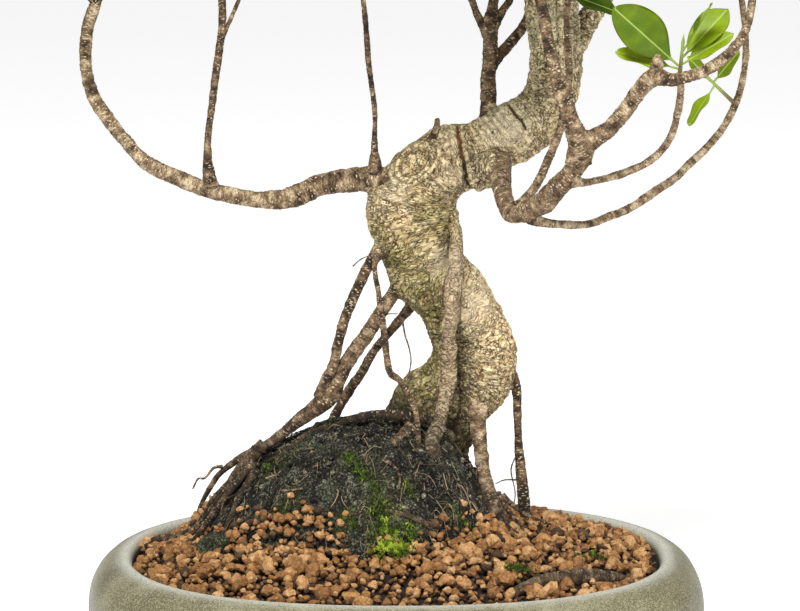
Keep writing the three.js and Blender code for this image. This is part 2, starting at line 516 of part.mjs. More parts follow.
// Shoots whose leaves hang below the crown, at the right: each leaf is its foot's place on
// the shoot, its tip, the way its upper face looks, and its width ratio.
const LOW_SHOOTS = [
  {
    limb: 'slender_twig', place: 8, to: [151, -52, 373],
    leaves: [
      [0.15, [113.5, -58, 394.5], [-0.35, -0.75, 0.6], 0.5],
      [0.08, [115.5, -50, 370], [-0.1, -0.55, 0.8], 0.38],
      [0.5, [176, -40, 392], [-0.3, -0.8, 0.5], 0.48],
      [0.75, [166, -60, 397], [-0.9, 0.1, 0.3], 0.36],
      [0.25, [178, -52, 380], [-0.3, -0.7, 0.7], 0.38],
    ],
  },
  {
    limb: 'front_left_arm', place: 5.2, to: [88, -50, 404],
    leaves: [
      [0.7, [116.6, -40, 390.3], [-0.1, -0.6, 0.8], 0.48],
      [0.95, [104, -66, 418], [-0.4, -0.5, 0.7], 0.44],
      [0.9, [96, -30, 424], [-0.3, 0.6, 0.7], 0.44],
    ],
  },
  {
    limb: 'lower_right_twig', place: 9.6, to: [172, 10, 348],
    leaves: [
      [0.8, [159.5, 2, 324], [-0.6, -0.3, 0.7], 0.42],
      [0.95, [158, 4, 362], [-0.3, -0.6, 0.7], 0.42],
      [0.9, [186, -4, 366], [0.2, -0.7, 0.7], 0.42],
    ],
  },
];

// A place on a limb: its middle there, its radius and the direction it runs in.
function placeOn(limb, place) {
  const row = Math.min(Math.floor(place), LIMBS[limb].length - 2);
  const [from, to] = LIMBS[limb].slice(row, row + 2);
  const steps = from.map((value, k) => to[k] - value);
  const [x, y, z, radius] = from.map((value, k) => value + steps[k] * (place - row));
  return { centre: new THREE.Vector3(x, y, z), radius, run: new THREE.Vector3(...steps).normalize() };
}

// Where a shoot leaves a limb, with the gap between: on the limb's end, or on the end of a
// nub that stands out of its side. It gives the shoot's start, and the nub if there is one.
function shootRoot(limb, place, along) {
  const { centre, radius, run } = placeOn(limb, place);
  const cosine = Math.abs(run.dot(along));
  const sine = Math.sqrt(1 - cosine ** 2);
  if (place === LIMBS[limb].length - 1) {
    const start = centre.addScaledVector(along, (GAP + SHOOT_RADIUS * sine) / cosine);
    return { start, nub: null };
  }
  const tip = centre.clone().addScaledVector(along, (radius + NUB_RADIUS * cosine) / sine + NUB_RISE);
  const nub = [[...centre.toArray(), NUB_RADIUS], [...tip.toArray(), NUB_RADIUS]];
  return { start: tip.addScaledVector(along, GAP), nub };
}

// The shoot's own line: straight out, then bending up.
function shootLine(start, along, length) {
  const middle = start.clone().addScaledVector(along, length * 0.5);
  const end = start.clone().addScaledVector(along, length).add(new THREE.Vector3(0, 0, length * 0.12));
  return [start, middle, end];
}

function onLine(line, part) {
  const [from, to, local] = part < 0.5 ? [line[0], line[1], part * 2] : [line[1], line[2], part * 2 - 1];
  return from.clone().lerp(to, local);
}

function lineLimb(line) {
  const taper = [1, 0.85, 0.6];
  return line.map((point, i) => [...point.toArray(), SHOOT_RADIUS * taper[i]]);
}

function clearOf(samples, others, wood) {
  for (const sample of samples) {
    if (Math.abs(sample.x) > CROWN_HALF_WIDTH || Math.abs(sample.y) > CROWN_HALF_DEPTH) return false;
    if (sample.z < CROWN_FLOOR + CROWN_FLOOR_SLOPE * sample.y) return false;
    if (others.some((other) => other.distanceTo(sample) < LEAF_CLEARANCE)) return false;
    const touches = ([x, y, z, radius]) =>
      Math.hypot(sample.x - x, sample.y - y, sample.z - z) < radius + WOOD_CLEARANCE;
    if (wood.some(touches)) return false;
  }
  return true;
}

// Each leaf is tried at turns round the shoot until one lies clear of its neighbours.
const TURNS = [0, 1, -1, 2, -2, 3, -3, 4, -4].map((step) => step * THREE.MathUtils.degToRad(24));
const OPENINGS = [0, -16, 14].map((degrees) => THREE.MathUtils.degToRad(degrees));

function fittedLeaf(line, along, part, azimuth, opening, length, droop, others, wood) {
  const across = new THREE.Vector3(0, 0, 1).cross(along);
  if (across.length() < 0.2) across.set(1, 0, 0);
  across.addScaledVector(along, -across.dot(along)).normalize();
  const over = along.clone().cross(across);
  for (const shrink of [1, 0.8]) {
    for (const open of OPENINGS) {
      for (const turn of TURNS) {
        const around = azimuth + turn;
        const spread = opening + open;
        const way = along.clone().multiplyScalar(Math.cos(spread))
          .addScaledVector(across, Math.sin(spread) * Math.cos(around))
          .addScaledVector(over, Math.sin(spread) * Math.sin(around));
        const leaf = aimedLeaf(onLine(line, part), way, along, length * shrink, droop);
        if (clearOf(leafSamples(leaf), others, wood)) return leaf;
      }
    }
  }
  return null;
}

function planSprays() {
  const draw = makeDraw(20261);
  const wood = woodSamples();
  const low = LOW_SHOOTS.map(({ limb, place, to, leaves }) => {
    const goal = new THREE.Vector3(...to);
    const along = goal.clone().sub(placeOn(limb, place).centre).normalize();
    const { start, nub } = shootRoot(limb, place, along);
    const line = [start, start.clone().lerp(goal, 0.5), goal];
    const made = leaves.map(([part, tip, face, width]) => {
      const foot = onLine(line, part);
      const reach = new THREE.Vector3(...tip).sub(foot);
      const length = reach.length();
      const along = reach.normalize();
      const up = new THREE.Vector3(...face);
      up.addScaledVector(along, -up.dot(along)).normalize();
      return { foot, along, up, aside: along.clone().cross(up), length, width, droop: 0 };
    });
    return { line, nub, leaves: made };
  });
  const shoots = SHOOTS.map(([limb, place, way, size]) => {
    const along = new THREE.Vector3(...way).normalize();
    const { start, nub } = shootRoot(limb, place, along);
    return { line: shootLine(start, along, SHOOT_LENGTH * size), nub, along, size, leaves: [] };
  });
  const sprays = [...low, ...shoots];
  for (const spray of sprays) {
    spray.samples = [0, 0.2, 0.4, 0.6, 0.8, 1].map((part) => onLine(spray.line, part));
    for (const leaf of spray.leaves) spray.samples.push(...leafSamples(leaf));
  }
  for (const spray of shoots) {
    const others = sprays.filter((other) => other !== spray).flatMap((other) => other.samples);
    const first = draw() * 2 * Math.PI;
    for (let i = 0; i < LEAVES_PER_SPRAY; i += 1) {
      const part = 0.3 + 0.65 * i / (LEAVES_PER_SPRAY - 1);
      const opening = THREE.MathUtils.degToRad(i === LEAVES_PER_SPRAY - 1 ? 12 : 68 - 30 * part);
      const length = LEAF_LENGTH * spray.size * (0.85 + 0.3 * draw());
      const droop = 0.06 + 0.14 * draw();
      const leaf = fittedLeaf(spray.line, spray.along, part, first + i * PHYLLOTAXIS, opening, length,
        droop, others, wood);
      if (leaf !== null) spray.leaves.push(leaf);
    }
    for (const leaf of spray.leaves) spray.samples.push(...leafSamples(leaf));
  }
  return sprays;
}

function spraySolid({ line, leaves }) {
  const stemSides = 4;
  return joined([limbSolid(lineLimb(line), stemSides), ...leaves.map(leafSolid)]);
}

// The pieces, each with the colour and finish it has

function piece(name, solid, color, roughness, metalness = 0) {
  const mesh = new THREE.Mesh(geometryOf(solid),
    new THREE.MeshStandardMaterial({ color, roughness, metalness }));
  mesh.name = name;
  return mesh;
}

const bonsai = new THREE.Group();
const holes = holesForWood();

bonsai.add(piece('pot', makePot(), 0x8b8870, 0.35));
bonsai.add(piece('drain_screen_left', drainScreen(-DRAIN_HOLE_X), 0x1d1e1f, 0.6));
bonsai.add(piece('drain_screen_right', drainScreen(DRAIN_HOLE_X), 0x1d1e1f, 0.6));

const roomSide = SCREEN_SIDE + 2 * GAP;
const screenRoom = [-1, 1].map((way) => boxSolid(roomSide, roomSide, SCREEN_THICKNESS + 3 * GAP,
  way * DRAIN_HOLE_X, 0, FLOOR_TOP + GAP + SCREEN_THICKNESS / 2));
const akadama = largest(
  makeAkadama().subtract(joined([makeRootBall(GAP), makeClod(GAP), holes, ...screenRoom])),
);
bonsai.add(piece('akadama_soil', akadama, 0x8b6a4a, 0.95));
bonsai.add(piece('root_ball', makeRootBall(0).subtract(holes.add(makeClod(GAP))), 0x3f3b30, 0.95));
bonsai.add(piece('mossy_clod', makeClod(0), 0x3a3b28, 0.95));
const sprays = planSprays();
const nubs = sprays.map((spray) => spray.nub).filter((nub) => nub !== null);
bonsai.add(piece('tree', makeTree(nubs), 0xa4946f, 0.85));
sprays.forEach((spray, i) => {
  const number = String(i + 1).padStart(2, '0');
  bonsai.add(piece(`leaf_spray_${number}`, spraySolid(spray), 0x4f8a2c, 0.35));
});

export default bonsai;
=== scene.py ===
# A chinese banyan (Ficus microcarpa) bonsai in its oval glazed pot. Inside the functions and
# tables lengths are millimetres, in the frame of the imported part: +Z up, -Y towards the front.
import math

import bpy
import numpy as np
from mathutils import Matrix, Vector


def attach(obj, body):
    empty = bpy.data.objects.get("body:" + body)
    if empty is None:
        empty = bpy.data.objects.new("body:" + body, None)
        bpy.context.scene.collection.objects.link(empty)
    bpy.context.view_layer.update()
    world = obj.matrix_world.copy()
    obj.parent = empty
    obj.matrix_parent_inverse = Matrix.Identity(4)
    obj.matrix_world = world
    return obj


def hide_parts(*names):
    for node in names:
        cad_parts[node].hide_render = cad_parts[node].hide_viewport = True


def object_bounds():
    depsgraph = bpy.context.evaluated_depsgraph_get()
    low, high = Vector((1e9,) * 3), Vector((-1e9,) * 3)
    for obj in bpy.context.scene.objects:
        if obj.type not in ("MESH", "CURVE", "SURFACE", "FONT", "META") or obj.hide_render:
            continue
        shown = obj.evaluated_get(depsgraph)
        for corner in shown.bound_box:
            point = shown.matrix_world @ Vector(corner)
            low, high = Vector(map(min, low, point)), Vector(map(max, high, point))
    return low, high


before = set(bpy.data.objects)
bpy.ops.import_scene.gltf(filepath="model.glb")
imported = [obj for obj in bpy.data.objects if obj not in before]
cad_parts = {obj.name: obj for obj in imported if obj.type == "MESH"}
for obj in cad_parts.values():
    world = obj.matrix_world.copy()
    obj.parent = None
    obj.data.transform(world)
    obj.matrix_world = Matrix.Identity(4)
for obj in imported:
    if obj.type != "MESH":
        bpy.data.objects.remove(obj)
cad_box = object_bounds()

# Camera, floor and light
# The view looks a little down on the tree from the front. The floor is a wide pale sheet, and
# the light is a soft one from the front left, with white all round, as in a light tent.

MM = 0.001
PHOTO_WIDTH = 800
MM_PER_PIXEL = 0.55
VIEW_DISTANCE = 1900
LOOK_DOWN = math.radians(10.1)
VIEW_TARGET = (1.925, 0, 225.055)
FLOOR_REACH = 30000


def linear(red, green, blue):
    """A screen colour of 0 to 255 as linear light: c / 12.92 if dark, else ((c + 0.055) / 1.055) ** 2.4."""
    return [c / 12.92 if c < 0.04045 else ((c + 0.055) / 1.055) ** 2.4
            for c in (red / 255, green / 255, blue / 255)] + [1]


def add_object(name, data):
    made = bpy.data.objects.new(name, data)
    bpy.context.scene.collection.objects.link(made)
    return made


def add_node(kind, inputs, tree=None, **settings):
    """Adds a shader node. Each input is a plain value, or another node's output that is linked to it. The
    node joins that output's tree, or the given one."""
    linked = [value for value in inputs.values() if isinstance(value, bpy.types.NodeSocket)]
    tree = tree or linked[0].id_data
    node = tree.nodes.new(kind)
    for key, value in settings.items():
        setattr(node, key, value)
    for key, value in inputs.items():
        if isinstance(value, bpy.types.NodeSocket):
            tree.links.new(value, node.inputs[key])
        else:
            node.inputs[key].default_value = value
    return node


def new_finish(name, inputs):
    """A material with one Principled shader. Each input is a plain value, or another node's output."""
    material = bpy.data.materials.new(name)
    material.use_nodes = True
    material.node_tree.nodes.clear()
    shader = add_node("ShaderNodeBsdfPrincipled", inputs, material.node_tree)
    add_node("ShaderNodeOutputMaterial", {"Surface": shader.outputs[0]})
    return material, shader


def aim(light, x, y, z, toward):
    """Puts a lamp at a place in metres, turned so that it shines toward a point."""
    away = np.array([x, y, z]) - np.array(toward)
    light.location = (x, y, z)
    light.rotation_euler = (math.acos(away[2] / np.linalg.norm(away)), 0, math.atan2(away[0], -away[1]))


camera_data = bpy.data.cameras.new("view")
camera_data.sensor_width = 36
camera_data.lens = 36 * VIEW_DISTANCE / (PHOTO_WIDTH * MM_PER_PIXEL)
camera = add_object("view", camera_data)
camera.location = (VIEW_TARGET[0] * MM, -VIEW_DISTANCE * math.cos(LOOK_DOWN) * MM,
                   (VIEW_TARGET[2] + VIEW_DISTANCE * math.sin(LOOK_DOWN)) * MM)
camera.rotation_euler = (math.pi / 2 - LOOK_DOWN, 0, 0)
bpy.context.scene.camera = camera
bpy.context.scene.view_settings.view_transform = "Standard"

floor_mesh = bpy.data.meshes.new("floor")
corner = FLOOR_REACH * MM
floor_mesh.from_pydata([(x * corner, y * corner, 0) for x, y in ((-1, -1), (1, -1), (1, 1), (-1, 1))],
                       [], [(0, 1, 2, 3)])
floor = add_object("floor", floor_mesh)
floor_finish, _ = new_finish("pale_floor", {
    "Base Color": (0.9, 0.9, 0.9, 1), "Roughness": 0.9,
    "Emission Color": (1, 1, 1, 1), "Emission Strength": 0.42})
floor_mesh.materials.append(floor_finish)

world = bpy.data.worlds.new("white_tent")
world.use_nodes = True
world.node_tree.nodes["Background"].inputs["Color"].default_value = (1, 1, 1, 1)
world.node_tree.nodes["Background"].inputs["Strength"].default_value = 0.5
bpy.context.scene.world = world

for name, place, size, power in (("key", (-0.4, -1.4, 2.1), 0.7, 62),
                                 ("fill", (1.7, -1.2, 0.8), 1.2, 15)):
    lamp_data = bpy.data.lights.new(name, "AREA")
    lamp_data.size = size
    lamp_data.energy = power
    aim(add_object(name, lamp_data), *place, toward=(0, 0, 0.25))

# The pot
# One oval stoneware pot, pressed and turned, with a thick rolled lip, a bellied wall, four low
# feet and two drain holes. Its olive-grey glaze is finely speckled and pitted, and worn pale on
# the lip.

POT_HEIGHT = 86
MOUTH_HALF_LENGTH = 146
MOUTH_HALF_DEPTH = 112
OVAL_POWER = 2.3
FOOT_HEIGHT = 7
FOOT_MIDDLE = 4.6
FOOT_REACH = 140
FOOT_HALF_WIDTH = 10
FOOT_HALF_ANGLE = math.radians(15)
FOOT_POWER = 0.4
FEET_AT = (40, 140, 220, 320)
FLOOR_TOP = 15
DRAIN_HOLE_RADIUS = 11
DRAIN_HOLE_X = 62
POT_COLUMNS = 288
LIP_TOP = 84.5
LIP_REACH = 150
LIP_WEAR = 4.5
POT_OUTSIDE = [(0, 7), (60, 7), (120, 7), (146, 7), (154, 9), (160, 15), (165, 24), (168.6, 38),
               (170.6, 52), (170.8, 62), (168.5, 71.5), (164, 79), (158, 83.8), (152, 86)]
POT_INSIDE = [(148.6, 85.7), (146.4, 82.5), (146.2, 76), (149, 68), (153.5, 58), (154, 46), (152, 34),
              (142, 15), (100, 15), (0, 15)]
GLAZE_PALE = (152, 148, 121)
GLAZE_MID = (110, 105, 74)
GLAZE_DARK = (72, 66, 40)
GLAZE_WORN = (192, 191, 178)
GLAZE_PIT = (58, 52, 38)
# Painted shade on the pot's inner wall and floor, under the lip.
GLAZE_INSIDE_SHADE = (52, 49, 40)


def hashed(cells, seed):
    """Whole-number cells, n x 3, as even random values from 0 to 1: two odd multipliers mix the bits."""
    mixed = (cells @ np.array([374761393, 668265263, 1440662683]) + seed * 974711) & 0xFFFFFFFF
    mixed = ((mixed ^ (mixed >> 13)) * 1274126177) & 0xFFFFFFFF
    return ((mixed ^ (mixed >> 16)) & 0xFFFFFF) / 0xFFFFFF


def noise(points, scale, seed=0, octaves=1):
    """Smooth noise from -1 to 1: random values at the corners of a lattice, blended by 3tt - 2ttt.
    Each further octave is twice as fine and half as strong."""
    total = np.zeros(len(points))
    for octave in range(octaves):
        place = points / scale * 2 ** octave + 31.7 * octave
        base = np.floor(place).astype(np.int64)
        part = place - base
        part = part * part * (3 - 2 * part)
        for corner in np.ndindex(2, 2, 2):
            weight = np.prod(np.where(corner, part, 1 - part), axis=1)
            total += (2 * hashed(base + np.array(corner), seed + octave) - 1) * weight / 2 ** octave
    return total / (2 - 0.5 ** (octaves - 1))


def turns(count):
    """Angles spread evenly over a full turn, from 0."""
    return np.linspace(0, 2 * np.pi, count, endpoint=False)


def bell(far, reach):
    """How near a place is, from 1 down towards 0: exp(-(far / reach) ** 2)."""
    return np.exp(-(far / reach) ** 2)


def level_noise(x, y, scale, seed, octaves=2):
    """Noise for an array of places on the level ground."""
    flat = np.stack([x, y, 0 * x], axis=-1).reshape(-1, 3)
    return noise(flat, scale, seed, octaves).reshape(x.shape)


def signed_power(value, power):
    """|value| ** power, with the value's own sign."""
    return np.sign(value) * np.abs(value) ** power


def oval(reach, angle):
    """The pot's oval: x = reach * c ** (2 / p) and y = depth * s ** (2 / p), with c and s the cosine and
    sine, p the oval's power, and the depth as much less than the reach as the mouth is narrower."""
    depth = reach - (MOUTH_HALF_LENGTH - MOUTH_HALF_DEPTH) * np.minimum(1, reach / MOUTH_HALF_LENGTH)
    x, y = (signed_power(side, 2 / OVAL_POWER) for side in (np.cos(angle), np.sin(angle)))
    return reach * x, depth * y


def smooth_line(rows, step):
    """The Catmull-Rom curve through the rows of numbers, whose first three are a place, with a point
    every step along it: b + (c - a) t / 2 + (2a - 5b + 4c - d) tt / 2 + (3b - a - 3c + d) ttt / 2."""
    rows = np.asarray(rows, float)
    lengths = np.linalg.norm(np.diff(rows[:, :3], axis=0), axis=1)
    knots = np.concatenate([[0], np.cumsum(lengths)])
    along = np.linspace(0, knots[-1], max(4, int(knots[-1] / step) + 1))
    row = np.clip(np.searchsorted(knots, along, "right") - 1, 0, len(lengths) - 1)
    t = ((along - knots[row]) / lengths[row])[:, None]
    padded = np.vstack([2 * rows[0] - rows[1], rows, 2 * rows[-1] - rows[-2]])
    a, b, c, d = (padded[row + shift] for shift in range(4))
    bend = (c - a) * t + (2 * a - 5 * b + 4 * c - d) * t ** 2 + (3 * b - a - 3 * c + d) * t ** 3
    return b + 0.5 * bend, along


def ring_faces(rows, columns):
    """Faces of rows of points in closed rings, and the two fans that shut the first and last ring. The
    two poles are numbered after the grid's points. They face out where a ring turns left round its path."""
    row, column = (side.ravel() for side in np.mgrid[0:rows - 1, 0:columns])
    following = (column + 1) % columns
    walls = np.stack([row * columns + column, row * columns + following,
                      (row + 1) * columns + following, (row + 1) * columns + column], axis=1)
    ring = np.arange(columns)
    turned = (ring + 1) % columns
    first = np.stack([turned, ring, np.full(columns, rows * columns)], axis=1)
    last = (rows - 1) * columns
    end = np.stack([last + ring, last + turned, np.full(columns, rows * columns + 1)], axis=1)
    return [walls, np.vstack([first, end])]


def make_piece(name, points, faces, finish, **marks):
    """A smooth-shaded mesh object from points in millimetres and arrays of faces. Each mark is a number
    or a place for each point, which the finish reads as an attribute of that name."""
    mesh = bpy.data.meshes.new(name)
    corners = np.concatenate([part.ravel() for part in faces]).astype(np.int32)
    sizes = np.concatenate([np.full(len(part), part.shape[1]) for part in faces])
    mesh.vertices.add(len(points))
    mesh.vertices.foreach_set("co", (points * MM).astype(np.float32).ravel())
    mesh.loops.add(len(corners))
    mesh.loops.foreach_set("vertex_index", corners)
    mesh.polygons.add(len(sizes))
    mesh.polygons.foreach_set("loop_start", (np.cumsum(sizes) - sizes).astype(np.int32))
    mesh.update(calc_edges=True)
    mesh.shade_smooth()
    for mark, values in marks.items():
        kind, field = ("FLOAT", "value") if values.ndim == 1 else ("FLOAT_VECTOR", "vector")
        attribute = mesh.attributes.new(mark, kind, "POINT")
        attribute.data.foreach_set(field, values.astype(np.float32).ravel())
    mesh.materials.append(finish)
    return add_object(name, mesh)


def joined(shapes):
    """Several (points, faces) shapes as one, with the faces' numbers moved on."""
    counts = np.cumsum([0] + [len(points) for points, _ in shapes])
    faces = [part + start for (_, parts), start in zip(shapes, counts) for part in parts]
    return np.vstack([points for points, _ in shapes]), faces


def joined_with_marks(shapes):
    """Several (points, faces, marks) shapes as one."""
    points, faces = joined([shape[:2] for shape in shapes])
    keys = shapes[0][2]
    return points, faces, {key: np.concatenate([shape[2][key] for shape in shapes]) for key in keys}


def ramp(value, *stops):
    """The colour that a value from 0 to 1 has between the stops, each a place and a screen colour."""
    node = add_node("ShaderNodeValToRGB", {"Fac": value})
    elements = node.color_ramp.elements
    while len(elements) < len(stops):
        elements.new(0.5)
    for element, (place, colour) in zip(elements, stops):
        element.position = place
        element.color = linear(*colour)
    return node.outputs["Color"]


def blended(share, under, over):
    """The colour under, with the colour over laid on it by a share from 0 to 1."""
    under, over = (linear(*side) if isinstance(side, tuple) else side for side in (under, over))
    node = add_node("ShaderNodeMix", {0: share, 6: under, 7: over}, data_type="RGBA")
    return node.outputs[2]


def layered(colour, *layers):
    """The colour with each layer laid on it in turn. A layer is its share from 0 to 1 and its colour."""
    for share, over in layers:
        colour = blended(share, colour, over)
    return colour


def figured(operation, *values):
    """The result of one sum on numbers, held between 0 and 1."""
    inputs = dict(enumerate(values))
    return add_node("ShaderNodeMath", inputs, operation=operation, use_clamp=True).outputs[0]


def times(one, other):
    """The product of two numbers, held between 0 and 1."""
    return figured("MULTIPLY", one, other)


def scaled(value, factor, added):
    """value * factor + added, held between 0 and 1."""
    return figured("MULTIPLY_ADD", value, factor, added)


def spread(value, low, high):
    """A number rescaled so that low becomes 0 and high becomes 1, smoothly."""
    inputs = {"Value": value, "From Min": low, "From Max": high}
    return add_node("ShaderNodeMapRange", inputs, interpolation_type="SMOOTHSTEP").outputs[0]


def mark_of(material, name, output="Fac"):
    """The mark of that name that the piece's points carry."""
    node = add_node("ShaderNodeAttribute", {}, material.node_tree, attribute_name=name)
    return node.outputs[output]


def place_in(material):
    """The place in the object, in metres."""
    return add_node("ShaderNodeTexCoord", {}, material.node_tree).outputs["Object"]


def grain_of(place, size, detail=4, roughness=0.55):
    """Noise with lumps of that size in metres, or in the place's own unit, as a number from 0 to 1."""
    inputs = {"Vector": place, "Scale": 1 / size, "Detail": detail, "Roughness": roughness}
    return add_node("ShaderNodeTexNoise", inputs).outputs["Fac"]


def surfaced(material, shader, colour, height, distance, strength=1.0):
    """Gives a finish its colour, and a bump that stands up to the distance in metres by its height."""
    bump = add_node("ShaderNodeBump", {"Strength": strength, "Distance": distance, "Height": height})
    material.node_tree.links.new(colour, shader.inputs["Base Color"])
    material.node_tree.links.new(bump.outputs[0], shader.inputs["Normal"])
    return material


def pot_finish():
    material, shader = new_finish("speckled_glaze", {"Roughness": 0.42, "Specular IOR Level": 0.5})
    place = place_in(material)
    cloud = grain_of(place, 0.030, 5)
    speckle = grain_of(place, 0.0009, 3, 0.75)
    colour = ramp(cloud, (0.3, GLAZE_DARK), (0.5, GLAZE_MID), (0.74, GLAZE_PALE))
    worn = times(mark_of(material, "worn"), spread(speckle, 0.22, 0.55))
    pits = add_node("ShaderNodeTexVoronoi", {"Vector": place, "Scale": 1 / 0.006}).outputs["Distance"]
    pitted = times(spread(pits, 0.14, 0.06), spread(grain_of(place, 0.02, 2), 0.5, 0.62))
    # The last layer is painted shade on the inner wall, read from the inner mark.
    colour = layered(colour, (spread(speckle, 0.5, 0.62), GLAZE_PALE),
                     (spread(speckle, 0.48, 0.36), GLAZE_DARK), (worn, GLAZE_WORN),
                     (pitted, GLAZE_PIT), (times(mark_of(material, "inner"), 0.75), GLAZE_INSIDE_SHADE))
    relief = figured("SUBTRACT", speckle, pitted)
    return surfaced(material, shader, colour, relief, 0.0004, 0.35)


def pot_wall():
    """The profile, smoothed and carried round the oval. The wall leans in and out by up to 0.7 mm, as a
    pot pressed by hand does. It gives the points, faces, and each point's wear and inwardness."""
    profile = [(0, reach, height) for reach, height in POT_OUTSIDE + POT_INSIDE]
    line = smooth_line(profile, 2.4)[0][1:-1]
    reach = np.maximum(line[:, 1], 0.5)[:, None]
    height = np.clip(line[:, 2], FOOT_HEIGHT, POT_HEIGHT)[:, None]
    angle = turns(POT_COLUMNS)[None, :]
    x, y = oval(reach + 0 * angle, angle + 0 * reach)
    points = np.stack([x, y, height + 0 * angle], axis=-1).reshape(-1, 3)
    uneven = 0.7 * noise(points, 55, 5) + 0.25 * noise(points, 14, 6)
    free = np.repeat((line[:, 1] > 143) & (line[:, 2] > FOOT_HEIGHT + 1), POT_COLUMNS)
    radial = points * [1, 1, 0] / np.maximum(np.linalg.norm(points[:, :2], axis=1), 1)[:, None]
    points = points + radial * (uneven * free)[:, None]
    poles = np.array([[0, 0, FOOT_HEIGHT], [0, 0, FLOOR_TOP]])
    lip = bell(line[:, 1] - LIP_REACH, LIP_WEAR) * (line[:, 2] > LIP_TOP - 4)
    # The inner wall below the lip, which the glaze darkens as painted shade.
    inner = (line[:, 1] < 156) & (line[:, 2] < 83) & (line[:, 2] > 16) & (line[:, 1] > 140)
    inner = inner & (np.arange(len(line)) > np.argmax(line[:, 2]))
    worn = np.concatenate([np.repeat(lip, POT_COLUMNS), [0, 0]])
    inner = np.concatenate([np.repeat(inner, POT_COLUMNS), [0, 1]])
    return np.vstack([points, poles]), ring_faces(len(line), POT_COLUMNS), worn, inner


def pot_foot(middle):
    """One foot: a rounded block over 30 degrees of the base's oval, as rings that shrink at its ends."""
    end = np.linspace(-1, 1, 25)[:, None]
    turn = turns(24)[None, :]
    swell = (1 - np.abs(end) ** 6) ** 0.5 * 0.98 + 0.02
    reach = FOOT_REACH + FOOT_HALF_WIDTH * signed_power(np.cos(turn), FOOT_POWER) * swell
    height = FOOT_MIDDLE * (1 + signed_power(-np.sin(turn), FOOT_POWER) * (0.7 + 0.3 * swell))
    x, y = oval(reach, middle + FOOT_HALF_ANGLE * end + 0 * turn)
    points = np.stack([x, y, np.maximum(height, 0)], axis=-1)
    poles = points[[0, -1]].mean(axis=1)
    return np.vstack([points.reshape(-1, 3), poles]), ring_faces(25, 24)


def cut_drain_hole(pot, x):
    """One round hole through the pot's floor, cut by a plain cylinder that is then removed."""
    bpy.ops.mesh.primitive_cylinder_add(vertices=64, radius=DRAIN_HOLE_RADIUS * MM,
                                        depth=4 * FLOOR_TOP * MM, location=(x * MM, 0, 0))
    cutter = bpy.context.object
    cut = pot.modifiers.new("drain_hole", "BOOLEAN")
    cut.operation = "DIFFERENCE"
    cut.solver = "EXACT"
    cut.object = cutter
    bpy.context.view_layer.objects.active = pot
    bpy.ops.object.modifier_apply(modifier=cut.name)
    bpy.data.objects.remove(cutter)


glaze = pot_finish()
wall_points, wall_faces, wall_worn, wall_inside_shade = pot_wall()
pot = make_piece("glazed_pot", wall_points, wall_faces, glaze, worn=wall_worn, inner=wall_inside_shade)
for side in (-1, 1):
    cut_drain_hole(pot, side * DRAIN_HOLE_X)
feet_points, feet_faces = joined([pot_foot(math.radians(degrees)) for degrees in FEET_AT])
pot_feet = make_piece("pot_feet", feet_points, feet_faces, glaze)
for piece in (pot, pot_feet):
    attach(piece, "root")
    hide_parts("pot")

# Drain screens
# Two squares of black plastic mesh, cut with scissors and laid over the drain holes. The
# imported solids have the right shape, so they only get their finish.

SCREEN_BLACK = (24, 25, 26)
SCREEN_DUST = (74, 66, 56)


def screen_finish():
    material, shader = new_finish("black_mesh_plastic", {"Roughness": 0.55})
    place = place_in(material)
    dust = spread(grain_of(place, 0.004, 4), 0.45, 0.75)
    colour = blended(dust, SCREEN_BLACK, SCREEN_DUST)
    return surfaced(material, shader, colour, dust, 0.0002, 0.2)


screen_plastic = screen_finish()
for side in ("left", "right"):
    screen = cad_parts["drain_screen_" + side]
    screen.data.materials.clear()
    screen.data.materials.append(screen_plastic)

# The root ball
# The old soil that the roots have grown through: a dark fibrous mound, with crumbs of soil on
# it, fine roots that run over it, and moss that grows on its front.

SOIL_EDGE = 82
SOIL_RISE = 25
MOUND_X = -6
MOUND_Y = 18
MOUND_RISE = 51
MOUND_REACH = {"left": 112, "right": 68, "front": 78, "back": 58}
WASHED_X = 46
WASHED_REACH = 9
WASHED_DEPTH = 7
SOIL_TONGUES = [(-22, -62, 12, 0.17), (14, -62, 12, 0.1), (38, -46, 8, 0.05), (-52, -45, 20, -0.05),
                (60, -10, 16, 0.04), (-84, -24, 20, -0.03), (-40, -50, 10, -0.04), (48, -34, 12, -0.05)]
CRUMBS = 4600
HAIRS = 3200
BOWL = [(0.01, 32), (0.7, 42), (0.97, 76)]
MOUND_RINGS = 150
MOUND_COLUMNS = 380
BALL_COLOURS = ((5, 4, 3), (31, 29, 24), (96, 94, 78), (178, 172, 148))
BALL_FILM = (92, 98, 72)
BALL_GREEN = (74, 84, 32)
MOSS_STOPS = ((0, (26, 37, 6)), (0.35, (62, 84, 10)), (0.7, (104, 128, 18)), (1, (164, 182, 54)))
FIBRE_STOPS = ((0.2, (16, 12, 9)), (0.6, (66, 53, 41)), (0.97, (172, 152, 120)))
MOSS_PATCHES = [(-3, -61, 9, 9, 620), (-26, -26, 4, 3, 26), (-21, -31, 4, 3, 22), (-16, -36, 4, 3, 16),
                (-10.6, -40, 4, 3, 16), (-11, -48, 6, 4, 26), (-70, -7, 9, 4, 26), (37, -37, 6, 3, 40),
                (65, -73, 8, 3, 70), (100, -48, 5, 3, 26), (109, -40, 5, 3, 22), (8, -54, 4, 3, 24),
                (-27, -50, 4, 3, 24), (7, -40, 4, 3, 12), (-61, -36, 6, 4, 10), (30, 62, 16, 8, 100)]
HEAP_X, HEAP_Y = MOSS_PATCHES[0][:2]
HEAP_SPREAD = 110


def dome_height(x, y):
    """The akadama's own surface: SOIL_EDGE + SOIL_RISE * (1 - (x / a) ** 2 - (y / b) ** 2), and no lower."""
    outward = (x / MOUTH_HALF_LENGTH) ** 2 + (y / MOUTH_HALF_DEPTH) ** 2
    return SOIL_EDGE + SOIL_RISE * np.maximum(0, 1 - outward)


